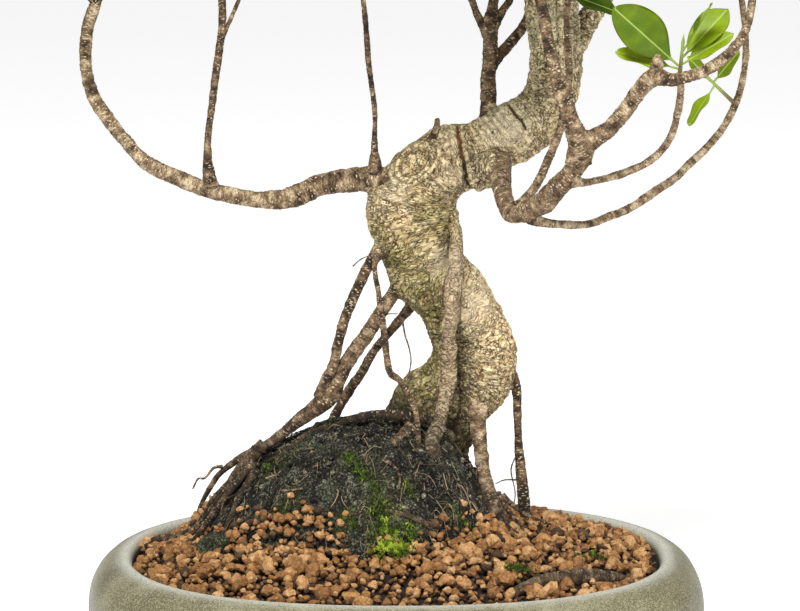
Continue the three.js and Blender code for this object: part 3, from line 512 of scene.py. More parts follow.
def mound_outward(x, y):
    """How far out a place is on the root ball, which has a reach of its own on each side: 1 at its foot."""
    reach_x = np.where(x > MOUND_X, MOUND_REACH["right"], MOUND_REACH["left"])
    reach_y = np.where(y > MOUND_Y, MOUND_REACH["back"], MOUND_REACH["front"])
    return np.hypot((x - MOUND_X) / reach_x, (y - MOUND_Y) / reach_y)


def mound_height(x, y):
    """The root ball's surface: the akadama's, and on it MOUND_RISE * (1 - d ** 2.4) ** 0.9 at outwardness d,
    less the part that was washed out from under the trunk at the right."""
    washed = WASHED_DEPTH * bell(x - WASHED_X, WASHED_REACH)
    rise = MOUND_RISE * np.maximum(0, 1 - mound_outward(x, y) ** 2.4) ** 0.9
    return dome_height(x, y) + np.maximum(0, rise - washed)


def lump_shape(parts):
    """A round lump to squash and break: a cube of parts x parts squares a side, blown up to a ball."""
    steps = np.arange(parts + 1)
    grid = np.stack(np.meshgrid(steps, steps, steps, indexing="ij"), axis=-1).reshape(-1, 3)
    shell = np.any((grid == 0) | (grid == parts), axis=1)
    number = np.cumsum(shell) - 1
    index = lambda place: number[place @ np.array([(parts + 1) ** 2, parts + 1, 1])]
    faces = []
    for axis in range(3):
        u, v = (axis + 1) % 3, (axis + 2) % 3
        for end in (0, parts):
            low = np.zeros((parts * parts, 3), int)
            low[:, axis] = end
            low[:, u], low[:, v] = np.repeat(np.arange(parts), parts), np.tile(np.arange(parts), parts)
            along, across = np.eye(3, dtype=int)[[u, v]]
            corners = [index(low + i * along + j * across) for i, j in ((0, 0), (1, 0), (1, 1), (0, 1))]
            faces.append(np.stack(corners if end else corners[::-1], axis=1))
    ball = np.tan((2 * grid[shell] / parts - 1) * 0.72)
    return ball / np.linalg.norm(ball, axis=1)[:, None], np.vstack(faces)


def turned_about(rng, count):
    """Even random turns, as count 3 x 3 matrices: from unit quaternions of four normal random numbers."""
    w, x, y, z = rng.normal(size=(4, count))
    size = np.sqrt(w * w + x * x + y * y + z * z)
    w, x, y, z = w / size, x / size, y / size, z / size
    return np.stack([1 - 2 * (y * y + z * z), 2 * (x * y - z * w), 2 * (x * z + y * w),
                     2 * (x * y + z * w), 1 - 2 * (x * x + z * z), 2 * (y * z - x * w),
                     2 * (x * z - y * w), 2 * (y * z + x * w), 1 - 2 * (x * x + y * y)],
                    axis=-1).reshape(count, 3, 3)


def lumps(rng, centres, radii, roughness, parts=3):
    """Broken lumps at those centres: each is a ball scaled by 0.7 to 1.15 along each axis, cut flat by five
    random planes as a broken clod is, and dented by noise. It gives their points and faces as one
    shape, and how many points a lump has."""
    ball, faces = lump_shape(parts)
    count = len(centres)
    points = ball[None] * rng.uniform(0.7, 1.15, (count, 1, 3))
    for _ in range(5):
        plane = rng.normal(size=(count, 3, 1))
        plane /= np.linalg.norm(plane, axis=1)[:, None]
        over = np.maximum(0, points @ plane - rng.uniform(0.45, 0.8, (count, 1, 1)))
        points = points - over * np.swapaxes(plane, 1, 2)
    dent = noise((points + 7.1 * np.arange(count)[:, None, None]).reshape(-1, 3), 0.55, 11, 2)
    points = points * (1 + roughness * dent.reshape(count, -1, 1))
    points = np.einsum("nij,nkj->nki", turned_about(rng, count), points) * radii[:, None, None]
    points = points + centres[:, None]
    numbers = faces[None] + (np.arange(count) * len(ball))[:, None, None]
    return points.reshape(-1, 3), [numbers.reshape(-1, 4)], len(ball)


def ball_edge(x, y):
    """The outwardness at which the root ball's soil gives way to grains: about 0.93, uneven, with tongues
    of soil that reach further out, each share * exp(-dd / rr)."""
    edge = 0.93 + 0.06 * level_noise(x, y, 13, 25)
    for tongue_x, tongue_y, reach, share in SOIL_TONGUES:
        edge = edge + share * np.exp(-((x - tongue_x) ** 2 + (y - tongue_y) ** 2) / reach ** 2)
    return edge


def soil_finish():
    material, shader = new_finish("fibrous_soil", {"Roughness": 0.92, "Specular IOR Level": 0.3})
    place = place_in(material)
    coarse = grain_of(place, 0.007, 5, 0.65)
    fine = grain_of(place, 0.0011, 4, 0.75)
    tone = scaled(coarse, 0.45, scaled(fine, 0.95, -0.18))
    tone = scaled(mark_of(material, "shade"), 0.14, tone)
    black, dark, mid, pale = BALL_COLOURS
    colour = ramp(tone, (0.42, black), (0.54, dark), (0.63, mid), (0.76, pale))
    film = times(spread(grain_of(place, 0.022, 3), 0.5, 0.66), spread(fine, 0.4, 0.66))
    green = times(mark_of(material, "mossy"), spread(fine, 0.38, 0.64))
    colour = layered(colour, (times(film, 0.6), BALL_FILM), (green, BALL_GREEN))
    height = scaled(coarse, 0.6, times(fine, 0.4))
    return surfaced(material, shader, colour, height, 0.0022)


def moss_share(points):
    """How mossy a place is: the strongest of the patches, each falling off as exp(-dd / rr)."""
    share = np.zeros(len(points))
    for x, y, reach_x, reach_y, _ in MOSS_PATCHES:
        far = ((points[:, 0] - x) / (1.4 * reach_x)) ** 2 + ((points[:, 1] - y) / (1.4 * reach_y)) ** 2
        share = np.maximum(share, np.exp(-far))
    return share


def mound_place(part, angle):
    """The x and y at an angle round the mound's middle, and at a share of its reach on that side."""
    reach_x = np.where(np.cos(angle) > 0, MOUND_REACH["right"], MOUND_REACH["left"])
    reach_y = np.where(np.sin(angle) > 0, MOUND_REACH["back"], MOUND_REACH["front"])
    return MOUND_X + reach_x * part * np.cos(angle), MOUND_Y + reach_y * part * np.sin(angle)


def root_ball():
    """The mound on a grid of rings, its surface broken by noise of two sizes, over the bowl below, whose
    rings are given as a share of the reach and a height."""
    part = np.concatenate([[share for share, _ in BOWL], np.linspace(1, 0.01, MOUND_RINGS)])[:, None]
    level = np.concatenate([[low for _, low in BOWL], np.full(MOUND_RINGS, -1.0)])[:, None]
    angle = turns(MOUND_COLUMNS)[None, :]
    x, y = mound_place(part, angle)
    rough = 3.2 * level_noise(x, y, 13, 31) + 3.4 * level_noise(x, y, 4.4, 33, 3)
    rough = rough * np.minimum(1, 6 * (1.02 - part))
    bared = 3 * np.clip((mound_outward(x, y) - ball_edge(x, y)) / 0.04, 0, 1)
    z = np.where(level < 0, mound_height(x, y) + 0.3 + rough - bared, level)
    points = np.stack([x, y, z], axis=-1).reshape(-1, 3)
    poles = np.array([[MOUND_X, MOUND_Y, BOWL[0][1]], [MOUND_X, MOUND_Y, z[-1].mean()]])
    return np.vstack([points, poles]), ring_faces(len(part), MOUND_COLUMNS)


def on_ball(rng, count, outer):
    """Random places spread evenly over the mound, out to a share of its reach."""
    angle = rng.uniform(0, 2 * np.pi, count)
    return mound_place(outer * np.sqrt(rng.uniform(0, 1, count)), angle)


def threads(paths, radii, sides=4):
    """Thin closed tubes, all at once. The paths are count x steps x 3, and the radii count x steps: each
    ring is centre + radius * (side * cos + over * sin), square to the path there. It also gives how many
    points a thread has."""
    count, steps = paths.shape[:2]
    tangent = np.gradient(paths, axis=1)
    tangent /= np.linalg.norm(tangent, axis=2)[..., None] + 1e-9
    least = np.argmin(np.abs(tangent).mean(axis=1), axis=1)
    side = np.eye(3)[least][:, None] * np.ones((1, steps, 1))
    side = side - tangent * (side * tangent).sum(axis=2)[..., None]
    side /= np.linalg.norm(side, axis=2)[..., None]
    over = np.cross(tangent, side)
    angle = turns(sides)
    spoke = side[..., None, :] * np.cos(angle)[:, None] + over[..., None, :] * np.sin(angle)[:, None]
    rings = paths[:, :, None] + radii[..., None, None] * spoke
    points = np.concatenate([rings.reshape(count, -1, 3), paths[:, :1], paths[:, -1:]], axis=1)
    per = steps * sides + 2
    faces = [(part[None] + (np.arange(count) * per)[:, None, None]).reshape(-1, part.shape[1])
             for part in ring_faces(steps, sides)]
    return points.reshape(-1, 3), faces, per


def thread_finish(name, roughness, stops):
    """A matt finish, whose colour is the one that each thread's shade has between the stops."""
    material, shader = new_finish(name, {"Roughness": roughness, "Specular IOR Level": 0.3})
    colour = ramp(mark_of(material, "shade"), *stops)
    material.node_tree.links.new(colour, shader.inputs["Base Color"])
    return material


soil = soil_finish()
ball_points, ball_faces = root_ball()
ball = make_piece("root_ball_mound", ball_points, ball_faces, soil, mossy=moss_share(ball_points))
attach(ball, "root")
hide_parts("root_ball")

rng = np.random.default_rng(42)
x, y = on_ball(rng, CRUMBS, 1.22)
radii = 0.55 + rng.exponential(0.5, len(x)).clip(0, 1.6)
kept = mound_outward(x, y) < ball_edge(x, y) + 0.05 * rng.normal(size=len(x))
x, y, radii = x[kept], y[kept], radii[kept]
lift = 0.9 + 1.6 * (mound_outward(x, y) > 0.98)
points, faces, corners = lumps(rng, np.stack([x, y, mound_height(x, y) + lift], axis=1), radii, 0.45, 2)
crumbs = make_piece("soil_crumbs", points, faces, soil, mossy=moss_share(points),
                    shade=np.repeat(rng.uniform(-0.6, 1, len(x)), corners))
crumbs.data.shade_flat()
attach(crumbs, "root")
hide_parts("root_ball")

fibre = thread_finish("fine_root", 0.8, FIBRE_STOPS)
x, y = on_ball(rng, HAIRS, 1.0)
heading = rng.uniform(0, 2 * np.pi, len(x))[:, None]
step = np.linspace(0, 1, 6)[None, :]
length = 3 + rng.exponential(4, len(x)).clip(0, 16)[:, None]
curl = rng.normal(0, 0.9, len(x))[:, None]
path_x = x[:, None] + length * step * np.cos(heading + curl * step)
path_y = y[:, None] + length * step * np.sin(heading + curl * step)
arch = rng.uniform(0.2, 2.2, len(x))[:, None] * np.sin(np.pi * step) + rng.normal(0, 0.35, (len(x), 6))
paths = np.stack([path_x, path_y, mound_height(path_x, path_y) + 0.9 + arch], axis=-1)
thick = (0.1 + rng.exponential(0.09, len(x)).clip(0, 0.4))[:, None] * (1 - 0.5 * step)
points, faces, corners = threads(paths, thick)
hair_roots = make_piece("hair_roots", points, faces, fibre,
                        shade=np.repeat(rng.uniform(0, 1, len(x)) ** 1.8, corners))
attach(hair_roots, "root")
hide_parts("root_ball")

moss_green = thread_finish("moss", 0.75, MOSS_STOPS)
place = np.vstack([np.stack([rng.normal(x, 0.5 * reach_x, count),
                             rng.normal(y, 0.5 * reach_y, count)], axis=1)
                   for x, y, reach_x, reach_y, count in MOSS_PATCHES])
place = np.repeat(place, 5, axis=0) + rng.normal(0, 0.7, (5 * len(place), 2))
lift = 0.6 + 2.6 * (mound_outward(place[:, 0], place[:, 1]) > 1.02)
foot = np.stack([place[:, 0], place[:, 1], mound_height(place[:, 0], place[:, 1]) + lift], axis=1)
heaped = np.exp(-((foot[:, 0] - HEAP_X) ** 2 + (foot[:, 1] - HEAP_Y) ** 2) / HEAP_SPREAD)
tuft = (1.8 + 2.4 * heaped) * np.maximum(0, noise(foot, 2.8, 51) + 0.4 * heaped)
lean = rng.normal(0, 0.6, (len(foot), 3)) + [0, -0.2, 1.1]
step = np.linspace(0, 1, 4)[None, :, None]
reach = rng.uniform(0.6, 1.6, (len(foot), 1, 1))
leaflets = foot[:, None] + [0, 0, 1] * tuft[:, None, None] + lean[:, None] * step * reach
thick = rng.uniform(0.22, 0.42, (len(foot), 1)) * np.array([[0.5, 1, 0.8, 0.1]])
points, faces, corners = threads(leaflets, thick, 3)
shade = np.clip(0.2 + 0.3 * tuft + rng.normal(0, 0.2, len(foot)), 0, 1)
moss = make_piece("moss_tufts", points, faces, moss_green, shade=np.repeat(shade, corners))
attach(moss, "root")
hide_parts("root_ball")

# The mossy clod
# A lump of the old soil that has fallen from the mound and lies on the akadama, with a skin of
# dark moss.

CLOD = (-99, -30, 95, 10)


def clod_shape():
    """A ball of rings, flattened by 0.9 and 0.85 and dented by noise."""
    x, y, z, radius = CLOD
    polar = np.linspace(0.02, np.pi - 0.02, 40)[:, None]
    angle = turns(64)[None, :]
    ball = np.stack([np.sin(polar) * np.cos(angle), np.sin(polar) * np.sin(angle),
                     -np.cos(polar) + 0 * angle], -1)
    points = np.vstack([ball.reshape(-1, 3), [[0, 0, -1], [0, 0, 1]]])
    dent = 0.2 * noise(points, 0.8, 61, 2) + 0.16 * noise(points, 0.28, 63, 2)
    return points * (1 + dent)[:, None] * radius * [1, 0.9, 0.85] + [x, y, z], ring_faces(40, 64)


clod_points, clod_faces = clod_shape()
clod = make_piece("mossy_clod_lump", clod_points, clod_faces, soil,
                  mossy=np.where(clod_points[:, 2] > CLOD[2], 0.3, 0.1))
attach(clod, "root")
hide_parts("mossy_clod")

# The wood
# The tree grew as one piece: the trunk with the strands of root that wrapped and joined it, the
# branches, and the roots that stand in the ground. Each limb is a list of x, y, z and radius,
# from thick to thin, and starts inside the limb that carries it.

TRUNK = {
    "trunk": [
        (20, 16, 84, 12), (22, 18, 100, 17), (24, 18, 116, 17), (26, 18, 128, 13.4), (31, 18, 141, 10),
        (39, 18, 154, 8.5), (44, 18, 165, 10.2), (48, 18, 175, 14), (50, 18, 186, 16),
        (49, 18, 201, 15.8), (42, 18, 216, 16.1), (33, 19, 229, 17.3), (18.5, 20, 243, 18.8),
        (12, 20, 258, 23), (9.5, 20, 276, 25.4), (15, 20, 290, 21.5), (25, 20, 299, 18.8),
        (37, 21, 304, 17.9), (54, 22, 312, 16), (69, 23, 320, 16.6), (81, 24, 331, 15.2),
        (87, 25, 347, 14.6), (87, 26, 363, 14.9), (85, 27, 387, 14.6), (81, 26, 410, 13.2),
        (70, 22, 434, 11.4), (53, 16, 455, 9.6), (38, 8, 478, 7.6), (29, 2, 502, 5.9), (23, -4, 522, 4.3),
        (18, -7, 535, 3), (12, -9, 546, 2)],
    "buttress": [
        (10, 24, 90, 13), (10, 26, 106, 23), (10, 26, 129, 21.4), (10, 26, 144, 20.5), (12, 25, 158, 18),
        (15, 24, 170, 15), (23, 23, 182, 10), (27, 22, 195, 7), (25.5, 21, 207, 7), (20.5, 20, 220, 9),
        (15, 20, 233, 16.7), (13, 20, 246, 20)],
    "groove_strand": [(35, 22, 222, 9), (34, 22, 200, 7.5), (32, 20, 170, 8.5), (30, 20, 144, 9)],
    "branch_collar": [(42, 17, 300, 15), (53, 15, 302, 13)],
    "right_fork": [
        (90, 28, 349, 8.8), (97, 30, 362, 7.4), (104, 34, 375, 6.6), (112, 39, 388, 6.1),
        (124, 46, 408, 5), (138, 54, 428, 4), (150, 60, 448, 3), (158, 64, 462, 2.2)],
}

BRANCHES = {
    "left_branch": [
        (-4, 18, 289, 9), (-16, 16, 293, 5.8), (-38, 12, 291.3, 5.6), (-49, 10, 287.4, 5.8),
        (-60, 8, 283.3, 5.6), (-76, 6, 283, 4.7), (-92, 4, 286, 4.6), (-106, 2, 290, 4.6),
        (-131, 0, 301, 4.1), (-143.5, 0, 311, 3.8), (-162, 5, 334, 3.6), (-168, 8, 347.5, 3.4),
        (-170, 12, 362, 3.4), (-169, 16, 376, 3.3), (-164, 20, 391, 3.1), (-157, 22, 408, 2.7),
        (-151, 21, 425, 2.2), (-149, 18, 440, 1.8)],
    "left_riser": [
        (-102, 2, 291, 3.6), (-103, 2, 301, 2.8), (-103, 3, 317, 2), (-101, 5, 333, 2),
        (-99, 7, 349, 2.2), (-95, 10, 378, 2.2), (-95, 12, 392, 2.1), (-94, 13, 410, 1.9),
        (-98, 9, 428, 1.7)],
    "left_riser_twig": [
        (-96, 10, 371, 1.5), (-93, 11, 376, 1.2), (-89, 14, 385, 1.1), (-85, 17, 394, 1.1),
        (-78, 24, 409, 1.1)],
    "middle_riser": [
        (-12, 14, 297, 3.4), (-12, 11, 316, 1.5), (-12, 8, 333, 1.4), (-15, 4, 357, 1.6),
        (-16, 2, 371, 1.6), (-18, 0, 393, 1.4), (-21, -5, 412, 1.3)],
    "back_riser": [
        (51, 26, 312, 6), (51, 34, 327, 4.6), (51, 36, 337, 4.3), (51, 37, 348, 4.2), (52, 38, 358, 4.4),
        (52, 39, 367, 4.2), (52, 40, 377, 4), (54, 43, 390, 2.8), (57, 54, 408, 2.3), (62, 68, 424, 1.8)],
    "back_riser_left": [
        (51, 40, 371, 3), (44.8, 40, 381, 2), (41, 39, 391, 1.9), (30, 41, 409, 1.7), (17, 45, 424, 1.4)],
    "back_riser_right": [
        (52, 38, 355, 3.6), (57, 41, 359, 3), (64, 46, 366, 2.8), (70, 52, 373, 2.7), (77, 60, 384, 2.5),
        (90, 72, 398, 2.1), (103, 84, 411, 1.7)],
    "back_riser_twig": [
        (52, 40, 374, 3), (58.5, 44, 383, 2.2), (63, 50, 391, 2), (54, 62, 402, 1.7), (44, 76, 414, 1.4)],
    "front_branch": [
        (55, 16, 308, 6.4), (56, 6, 304, 5.8), (57, -6, 294, 5.2), (59, -18, 285, 5), (63, -26, 280, 5),
        (72, -34, 284, 5.4), (79, -39, 288, 5.9), (86, -44, 297, 6), (92, -48, 304, 5.6),
        (98, -52, 314, 5.2), (100, -55, 323, 6.2)],
    "front_left_arm": [
        (98, -54, 319, 5.6), (93, -57, 332, 4.8), (89, -58, 344, 4.2), (84, -57, 360, 3.6),
        (80, -55, 376, 3.3), (77, -52, 392, 3.2), (73, -54, 412, 2.7), (65, -60, 430, 2.2)],
    "front_right_arm": [
        (98, -54, 320, 5.6), (111.4, -57, 329.4, 4.4), (120.7, -59, 340, 4.1), (128, -61, 351, 4.2),
        (135.3, -62, 357.7, 4.9), (146, -64, 357, 3.4), (162, -66, 362, 3.3), (173, -67, 370, 2.9),
        (182, -67, 382, 2.5), (186, -65, 398, 2.2), (186, -60, 415, 1.9)],
    "pruned_stub": [(136, -62, 358, 3.3), (137.5, -64, 370, 2.5)],
    "slender_twig": [
        (93, -49, 302, 4), (99, -47, 300, 2), (109, -43, 301, 1.9), (122, -38, 304, 2.2),
        (136.5, -35, 310.5, 2.1), (146.3, -35, 322, 2.1), (150, -38, 336, 2.1), (151, -44, 348, 1.9),
        (150, -50, 359, 1.8)],
    "lower_right_twig": [
        (67, -31, 281, 3.6), (79, -29, 275.8, 2.4), (101, -21, 273.2, 2.1), (114, -15, 276.2, 2.2),
        (128, -9, 281, 2.3), (142, -3, 289.5, 2.4), (152, 2, 295.2, 2.3), (161, 7, 303.2, 2.2),
        (170, 12, 310.7, 2.1), (181, 17, 323.5, 2), (189, 20, 342, 1.9), (192, 22, 364, 1.8),
        (190, 23, 386, 1.7), (186, 24, 406, 1.5)],
    "rising_twig": [
        (66, -28, 284, 3), (70, -27, 289, 2), (75, -26, 295, 2.4), (80, -24, 305, 2.3),
        (88, -20, 324, 2.2), (91, -18, 340, 2.1), (93, -17, 354, 2), (92, -16, 373, 1.9),
        (92, -14, 392, 1.8), (97, -18, 410, 1.5)],
}

CROWN = {
    "crown_left": [
        (58, 18, 449, 6.5), (30, 24, 461, 5.4), (0, 30, 469, 4.6), (-32, 32, 478, 3.8), (-62, 28, 485, 3),
        (-90, 20, 490, 2.2)],
    "crown_front": [
        (48, 14, 461, 6), (35, -18, 472, 4.5), (20, -46, 482, 3.6), (2, -68, 490, 2.8),
        (-14, -86, 497, 2)],
    "crown_back": [(62, 20, 445, 6), (57, 50, 457, 4.8), (46, 74, 468, 3.6), (30, 92, 478, 2.4)],
    "crown_right": [
        (72, 23, 431, 6.5), (98, 10, 446, 5), (124, -2, 460, 4), (148, -10, 474, 3),
        (168, -12, 486, 2.2)],
    "crown_upper_left": [(30, 4, 497, 4.4), (4, 2, 510, 3), (-22, -2, 519, 2.4), (-44, -4, 525, 1.8)],
    "crown_upper_right": [(25, -1, 514, 4), (46, 8, 523, 2.6), (66, 16, 531, 2)],
    "left_branch_fork": [(-164, 20, 391, 2.8), (-175, 10, 403, 2), (-184, -2, 416, 1.5)],
}

ROOTS = {
    "prop_root_back": [
        (-5, 16, 263, 4.5), (-9.7, 14, 255, 2.9), (-14.7, 12, 247, 3), (-20.7, 9, 235, 3),
        (-25.7, 7, 224, 3), (-30, 5, 212, 2.9), (-35, 3, 191, 2.8), (-39, 3, 183, 3), (-43, 4, 171, 3.4)],
    "prop_root_thick": [
        (6, 20, 240, 4.5), (-1, 16, 230, 3.4), (-6, 13, 223, 3.4), (-17.2, 9, 206, 4),
        (-26.3, 7, 193.7, 4.2), (-32.4, 6, 182, 4.5), (-37, 5, 173.5, 5.4), (-45.2, 6, 166.2, 4.5),
        (-54.2, 7, 159, 3.6), (-66.2, 9, 149, 3), (-77.8, 11, 140, 2.8)],
    "prop_root_far": [
        (11, 30, 225, 4), (6, 35, 216, 2.8), (0, 38, 208, 2.5), (-13, 43, 191, 2.4), (-20, 45, 178, 2.5),
        (-25, 46, 171, 2.8), (-34, 47, 155, 2.6), (-39, 46, 144, 2.6), (-44, 45, 132, 2)],
    "hanging_root": [
        (-9, 13, 254, 3), (-12, 4, 246, 1.4), (-10, -2, 233, 1.5), (-8, -6, 220, 1.9),
        (-5, -10, 196, 1.9), (-3, -11, 189, 2), (2, -12, 185, 1.7), (9, -14, 173, 1.6),
        (11, -15, 165, 1.5), (12, -16, 155, 1.4), (12, -17, 142, 1.3)],
    "ridge_root": [
        (30, 14, 146, 3.4), (27, 3, 153, 2.6), (17, -1, 161, 2.3), (2, -3, 164, 2.8), (-14, -1, 164, 2.4),
        (-25, 4, 160, 2.2), (-35, 8, 155, 2), (-46, 8, 151, 1.8), (-56, 3, 146, 1.6),
        (-66, -2, 139, 1.3)],
    "trunk_root": [
        (27, 14, 282, 3), (31, 8, 274, 3), (33, 2, 265, 3.5), (33, 0, 244, 3.8), (31, -1, 235, 4.4),
        (30, 0, 219, 4), (29, 2, 208, 3.9), (28.6, 1, 186, 3.9), (27, -1, 176, 3.9), (25, -4, 166, 4),
        (22, -8, 156, 4.4), (19, -14, 145, 5), (17, -22, 132, 4.4)],
    "right_prop_root": [
        (47, 16, 170, 6), (45, 8, 160, 4.4), (47, 1, 142, 3.9), (48, -2, 133, 3.9), (51, -5, 120, 4.4),
        (55, -9, 110, 4.4), (61, -14, 101, 3.7), (65, -24, 92, 2.7)],
    "far_right_root": [
        (58, 16, 188, 4.8), (65, 16, 181, 2.7), (67, 16, 172, 2.4), (68, 15, 146, 2.3),
        (69, 14, 134, 2.7), (71, 12, 114, 3.4), (72, 11, 104, 3.1), (74, 9, 92, 2.5)],
    "surface_root": [
        (24, 10, 108, 9), (34, -12, 96, 6), (46, -44, 84, 4), (56, -76, 80, 3.2), (63, -86, 85, 3),
        (71, -80, 87, 3.5), (80, -73, 87.5, 4.3), (90, -67, 88, 4.6), (100, -62, 87.5, 4.8),
        (111, -57, 86, 3.9), (120, -52, 84.5, 2.6), (127, -48, 82, 1.7)],
    "fan_root_outer": [
        (-74, 10, 143.5, 3.3), (-81, 11, 139, 2.8), (-87, 12, 136.5, 2.2), (-97, 13, 129, 1.7),
        (-102, 14, 123, 1.7), (-108, 16, 112, 1.4), (-111, 17, 104, 1.4), (-113, 18, 94, 1.3)],
    "fan_root_long": [
        (-77, 10, 140.5, 3.3), (-84, 7, 135, 2.7), (-88, 5, 131, 2.3), (-97, 6, 118, 2.2),
        (-106, 11, 105, 2.3), (-113, 15, 96, 2.4), (-119, 18, 90, 2.5), (-126, 20, 86, 2.6),
        (-132, 19, 82, 1.8)],
    "fan_root_inner": [
        (-83, 7, 136, 2.6), (-89, 7, 130, 1.9), (-92, 6, 123, 1.7), (-95, -2, 116, 1.7),
        (-97, -9, 109, 1.7), (-99, -15, 100, 1.4)],
    "fan_root_far": [
        (-119, 19, 90, 2.2), (-124, 26, 87, 1.9), (-130, 30, 85, 2.3), (-136, 26, 83.5, 2.5),
        (-139, 19, 81, 1.9)],
    "crest_rootlet": [
        (17, -20, 130, 3), (2, -30, 121, 1.8), (-7, -42, 119, 1.4), (-7, -48, 120.5, 1.3),
        (-1, -50.5, 120.5, 1.2), (7, -50, 118, 1.6), (15, -49, 114, 1.6), (21, -48, 108, 1.4)],
}

# The trunk
# The thick strands, and the collar that each limb grows out of, are one skin of living bark: cream
# plates and ring wrinkles over olive brown, a healed scar, two cracks, and a striped grey neck.

SKIN_STEP = 1.06
COLLARS = {"left_branch": 4, "back_riser": 3, "front_branch": 4, "crown_left": 3, "crown_front": 3,
           "crown_back": 3, "crown_right": 3, "crown_upper_left": 3, "crown_upper_right": 3,
           "prop_root_back": 3, "prop_root_thick": 3, "prop_root_far": 2, "hanging_root": 2,
           "right_prop_root": 3, "far_right_root": 3, "surface_root": 4, "ridge_root": 3,
           "slender_twig": 2}
STRANDS = {"trunk": 0.0, "buttress": 0.0, "right_fork": 0.0, "groove_strand": 0.0, "branch_collar": 0.0,
           "trunk_root": 1.0}
BARK_DEEP = (142, 114, 70)
BARK_MID = (186, 160, 112)
BARK_SKIN = (204, 184, 150)
BARK_CREAM = (240, 223, 180)
# Dark crevice colour: partly the bark's own dark seams and cracks, partly painted shade in hollows.
BARK_CREVICE = (50, 35, 15)
BARK_GREY = (204, 189, 168)
BARK_TAN = (204, 160, 108)
BARK_MOSS = (132, 132, 44)
BARK_SHADE = (46, 44, 22)
BARK_RUST = (132, 72, 32)
BARK_EARTH = (46, 38, 29)
ROOT_SKIN = (170, 147, 119)
ROOT_BROWN = (98, 66, 44)
BARK_SPOTS = {
    "moss": [
        (12, 0, 234, 18, 0.9), (2, 0, 249, 16, 0.8), (18, 4, 212, 15, 1), (20, 4, 190, 14, 1),
        (16, 4, 172, 15, 1), (19, -4, 274, 11, 0.7), (26, -2, 266, 8, 0.6), (67, 14, 372, 18, 0.4),
        (-8, 5, 262, 12, 0.5), (0, 20, 158, 24, 1), (38, -2, 150, 14, 0.9)],
    "grey": [
        (59, 5, 324, 13, 1), (24, -2, 249, 9, 0.9), (42, 0, 224, 15, 0.8), (-2, 2, 290, 10, 0.6),
        (29, 0, 298, 7, 0.6), (27, 2, 316, 8, 0.6), (95, 14, 360, 9, 0.5), (84, 10, 380, 9, 0.8)],
    "tan": [
        (64, 6, 200, 14, 0.9), (62, 6, 184, 12, 0.7), (54, -2, 215, 11, 0.7), (12, -2, 304, 9, 0.4),
        (30, -4, 226, 9, 0.5), (-2, 4, 270, 9, 0.4)],
    "dark": [
        (41, 2, 303, 9, 0.6), (37, 8, 212, 4, 0.8), (37, 9, 203, 5, 1), (36.5, 9, 193, 5, 1),
        (36, 9, 183, 6, 1), (35.5, 9, 173, 6, 1), (36, 8, 163, 7, 1), (37, 6, 152, 11, 1.7),
        (32, 0, 138, 15, 1.7), (21, 12, 205, 4, 0.8), (21, 12, 194, 4, 0.8), (77, 10, 340, 2.6, 0.9),
        (27, -2, 262, 5, 0.9), (31, 0, 256, 5, 0.9), (10, -2, 258, 4, 0.6), (24, 0, 285, 4, 0.6),
        (17, 8, 184, 5, 0.7), (14, 8, 170, 8, 0.7), (-5, 10, 158, 17, 1.7), (7, 0, 152, 15, 1.7),
        (96, 26, 372, 5, 0.5), (-5, 14, 254, 7, 0.8), (98, 26, 350, 6, 0.4)],
    "cream": [
        (86, 10, 420, 46, 0.9), (80, 8, 372, 28, 0.85), (64, 6, 336, 22, 0.7), (52, 6, 312, 10, 0.5),
        (27, -3, 178, 8, 0.5), (57, 4, 200, 24, 0.25)],
    "brown": [
        (30, -3, 228, 7, 0.55), (45, 4, 303, 8, 0.75), (49, 0, 296, 7, 0.7), (25, -4, 166, 8, 0.25),
        (22, -9, 156, 8, 0.8), (22, -9, 153, 11, 1.4), (18, -18, 139, 12, 1.4)],
    "ringed": [(56, 4, 190, 30, 1), (10, 0, 252, 16, 0.5), (59, 5, 328, 14, 0.6)],
}
SWELLINGS = [(22, 18, 322, 9, 5), (5, 8, 314, 9, 2.5), (2, 6, 311, 2.6, 2.2), (44, 3, 304, 9, 2.2),
             (52, 4, 300, 6, 1.6), (36, 6, 287, 5, 1.6), (57, 14, 331, 4, 1.8), (-5, 8, 281, 8, 1.6),
             (59, 8, 342, 4, 1.6)]
STRIPES_AT = (54, 322)
STRIPES_REACH = 11
STRIPES_TURN = (1.45, 1.25)
RING_SPACING = 3.6
PLATE_SIZE = 4.6
LUMP_SIZE = 2.5
CRACK_DEPTH = 2.4
CORK_FROM = 325
ROOTY_BELOW = 278
SOILED_TRUNK = 26
SCAR = (10.2, -2, 303.6)
SCAR_REACH = (11.4, 6.4)
SCAR_TILT = math.radians(40)
CRACKS = [[(33.1, 322.7), (34.2, 316.1), (35.3, 309.5), (37, 302.3), (38.1, 295.1), (40.9, 287.4)],
          [(54.9, 340.5), (59.3, 336.1), (63.7, 331.1), (68.1, 326.2), (71.4, 321.2)]]


def cells(points, scale, seed=0):
    """Worley cells: one random site in each box of a lattice. It gives the distances from each point to
    the nearest site and to the second nearest, as shares of the box, over the 27 boxes round it."""
    place = points / scale
    base = np.floor(place).astype(np.int64)
    near = np.full(len(points), 9.0)
    second = near.copy()
    for shift in np.ndindex(3, 3, 3):
        box = base + np.array(shift) - 1
        site = box + np.stack([hashed(box, seed), hashed(box, seed + 1), hashed(box, seed + 2)], axis=1)
        far = np.linalg.norm(place - site, axis=1)
        second = np.minimum(second, np.maximum(near, far))
        near = np.minimum(near, far)
    return near, second


def line_frames(centres):
    """Unit vectors along a line and two across it: side is the axis that the line turns to least, made
    square to it, and over = along x side."""
    along = np.gradient(centres, axis=0)
    along /= np.linalg.norm(along, axis=1)[:, None]
    side = np.eye(3)[np.argmin(np.abs(along).max(axis=0))]
    side = side - along * (along @ side)[:, None]
    side /= np.linalg.norm(side, axis=1)[:, None]
    return along, side, np.cross(along, side)


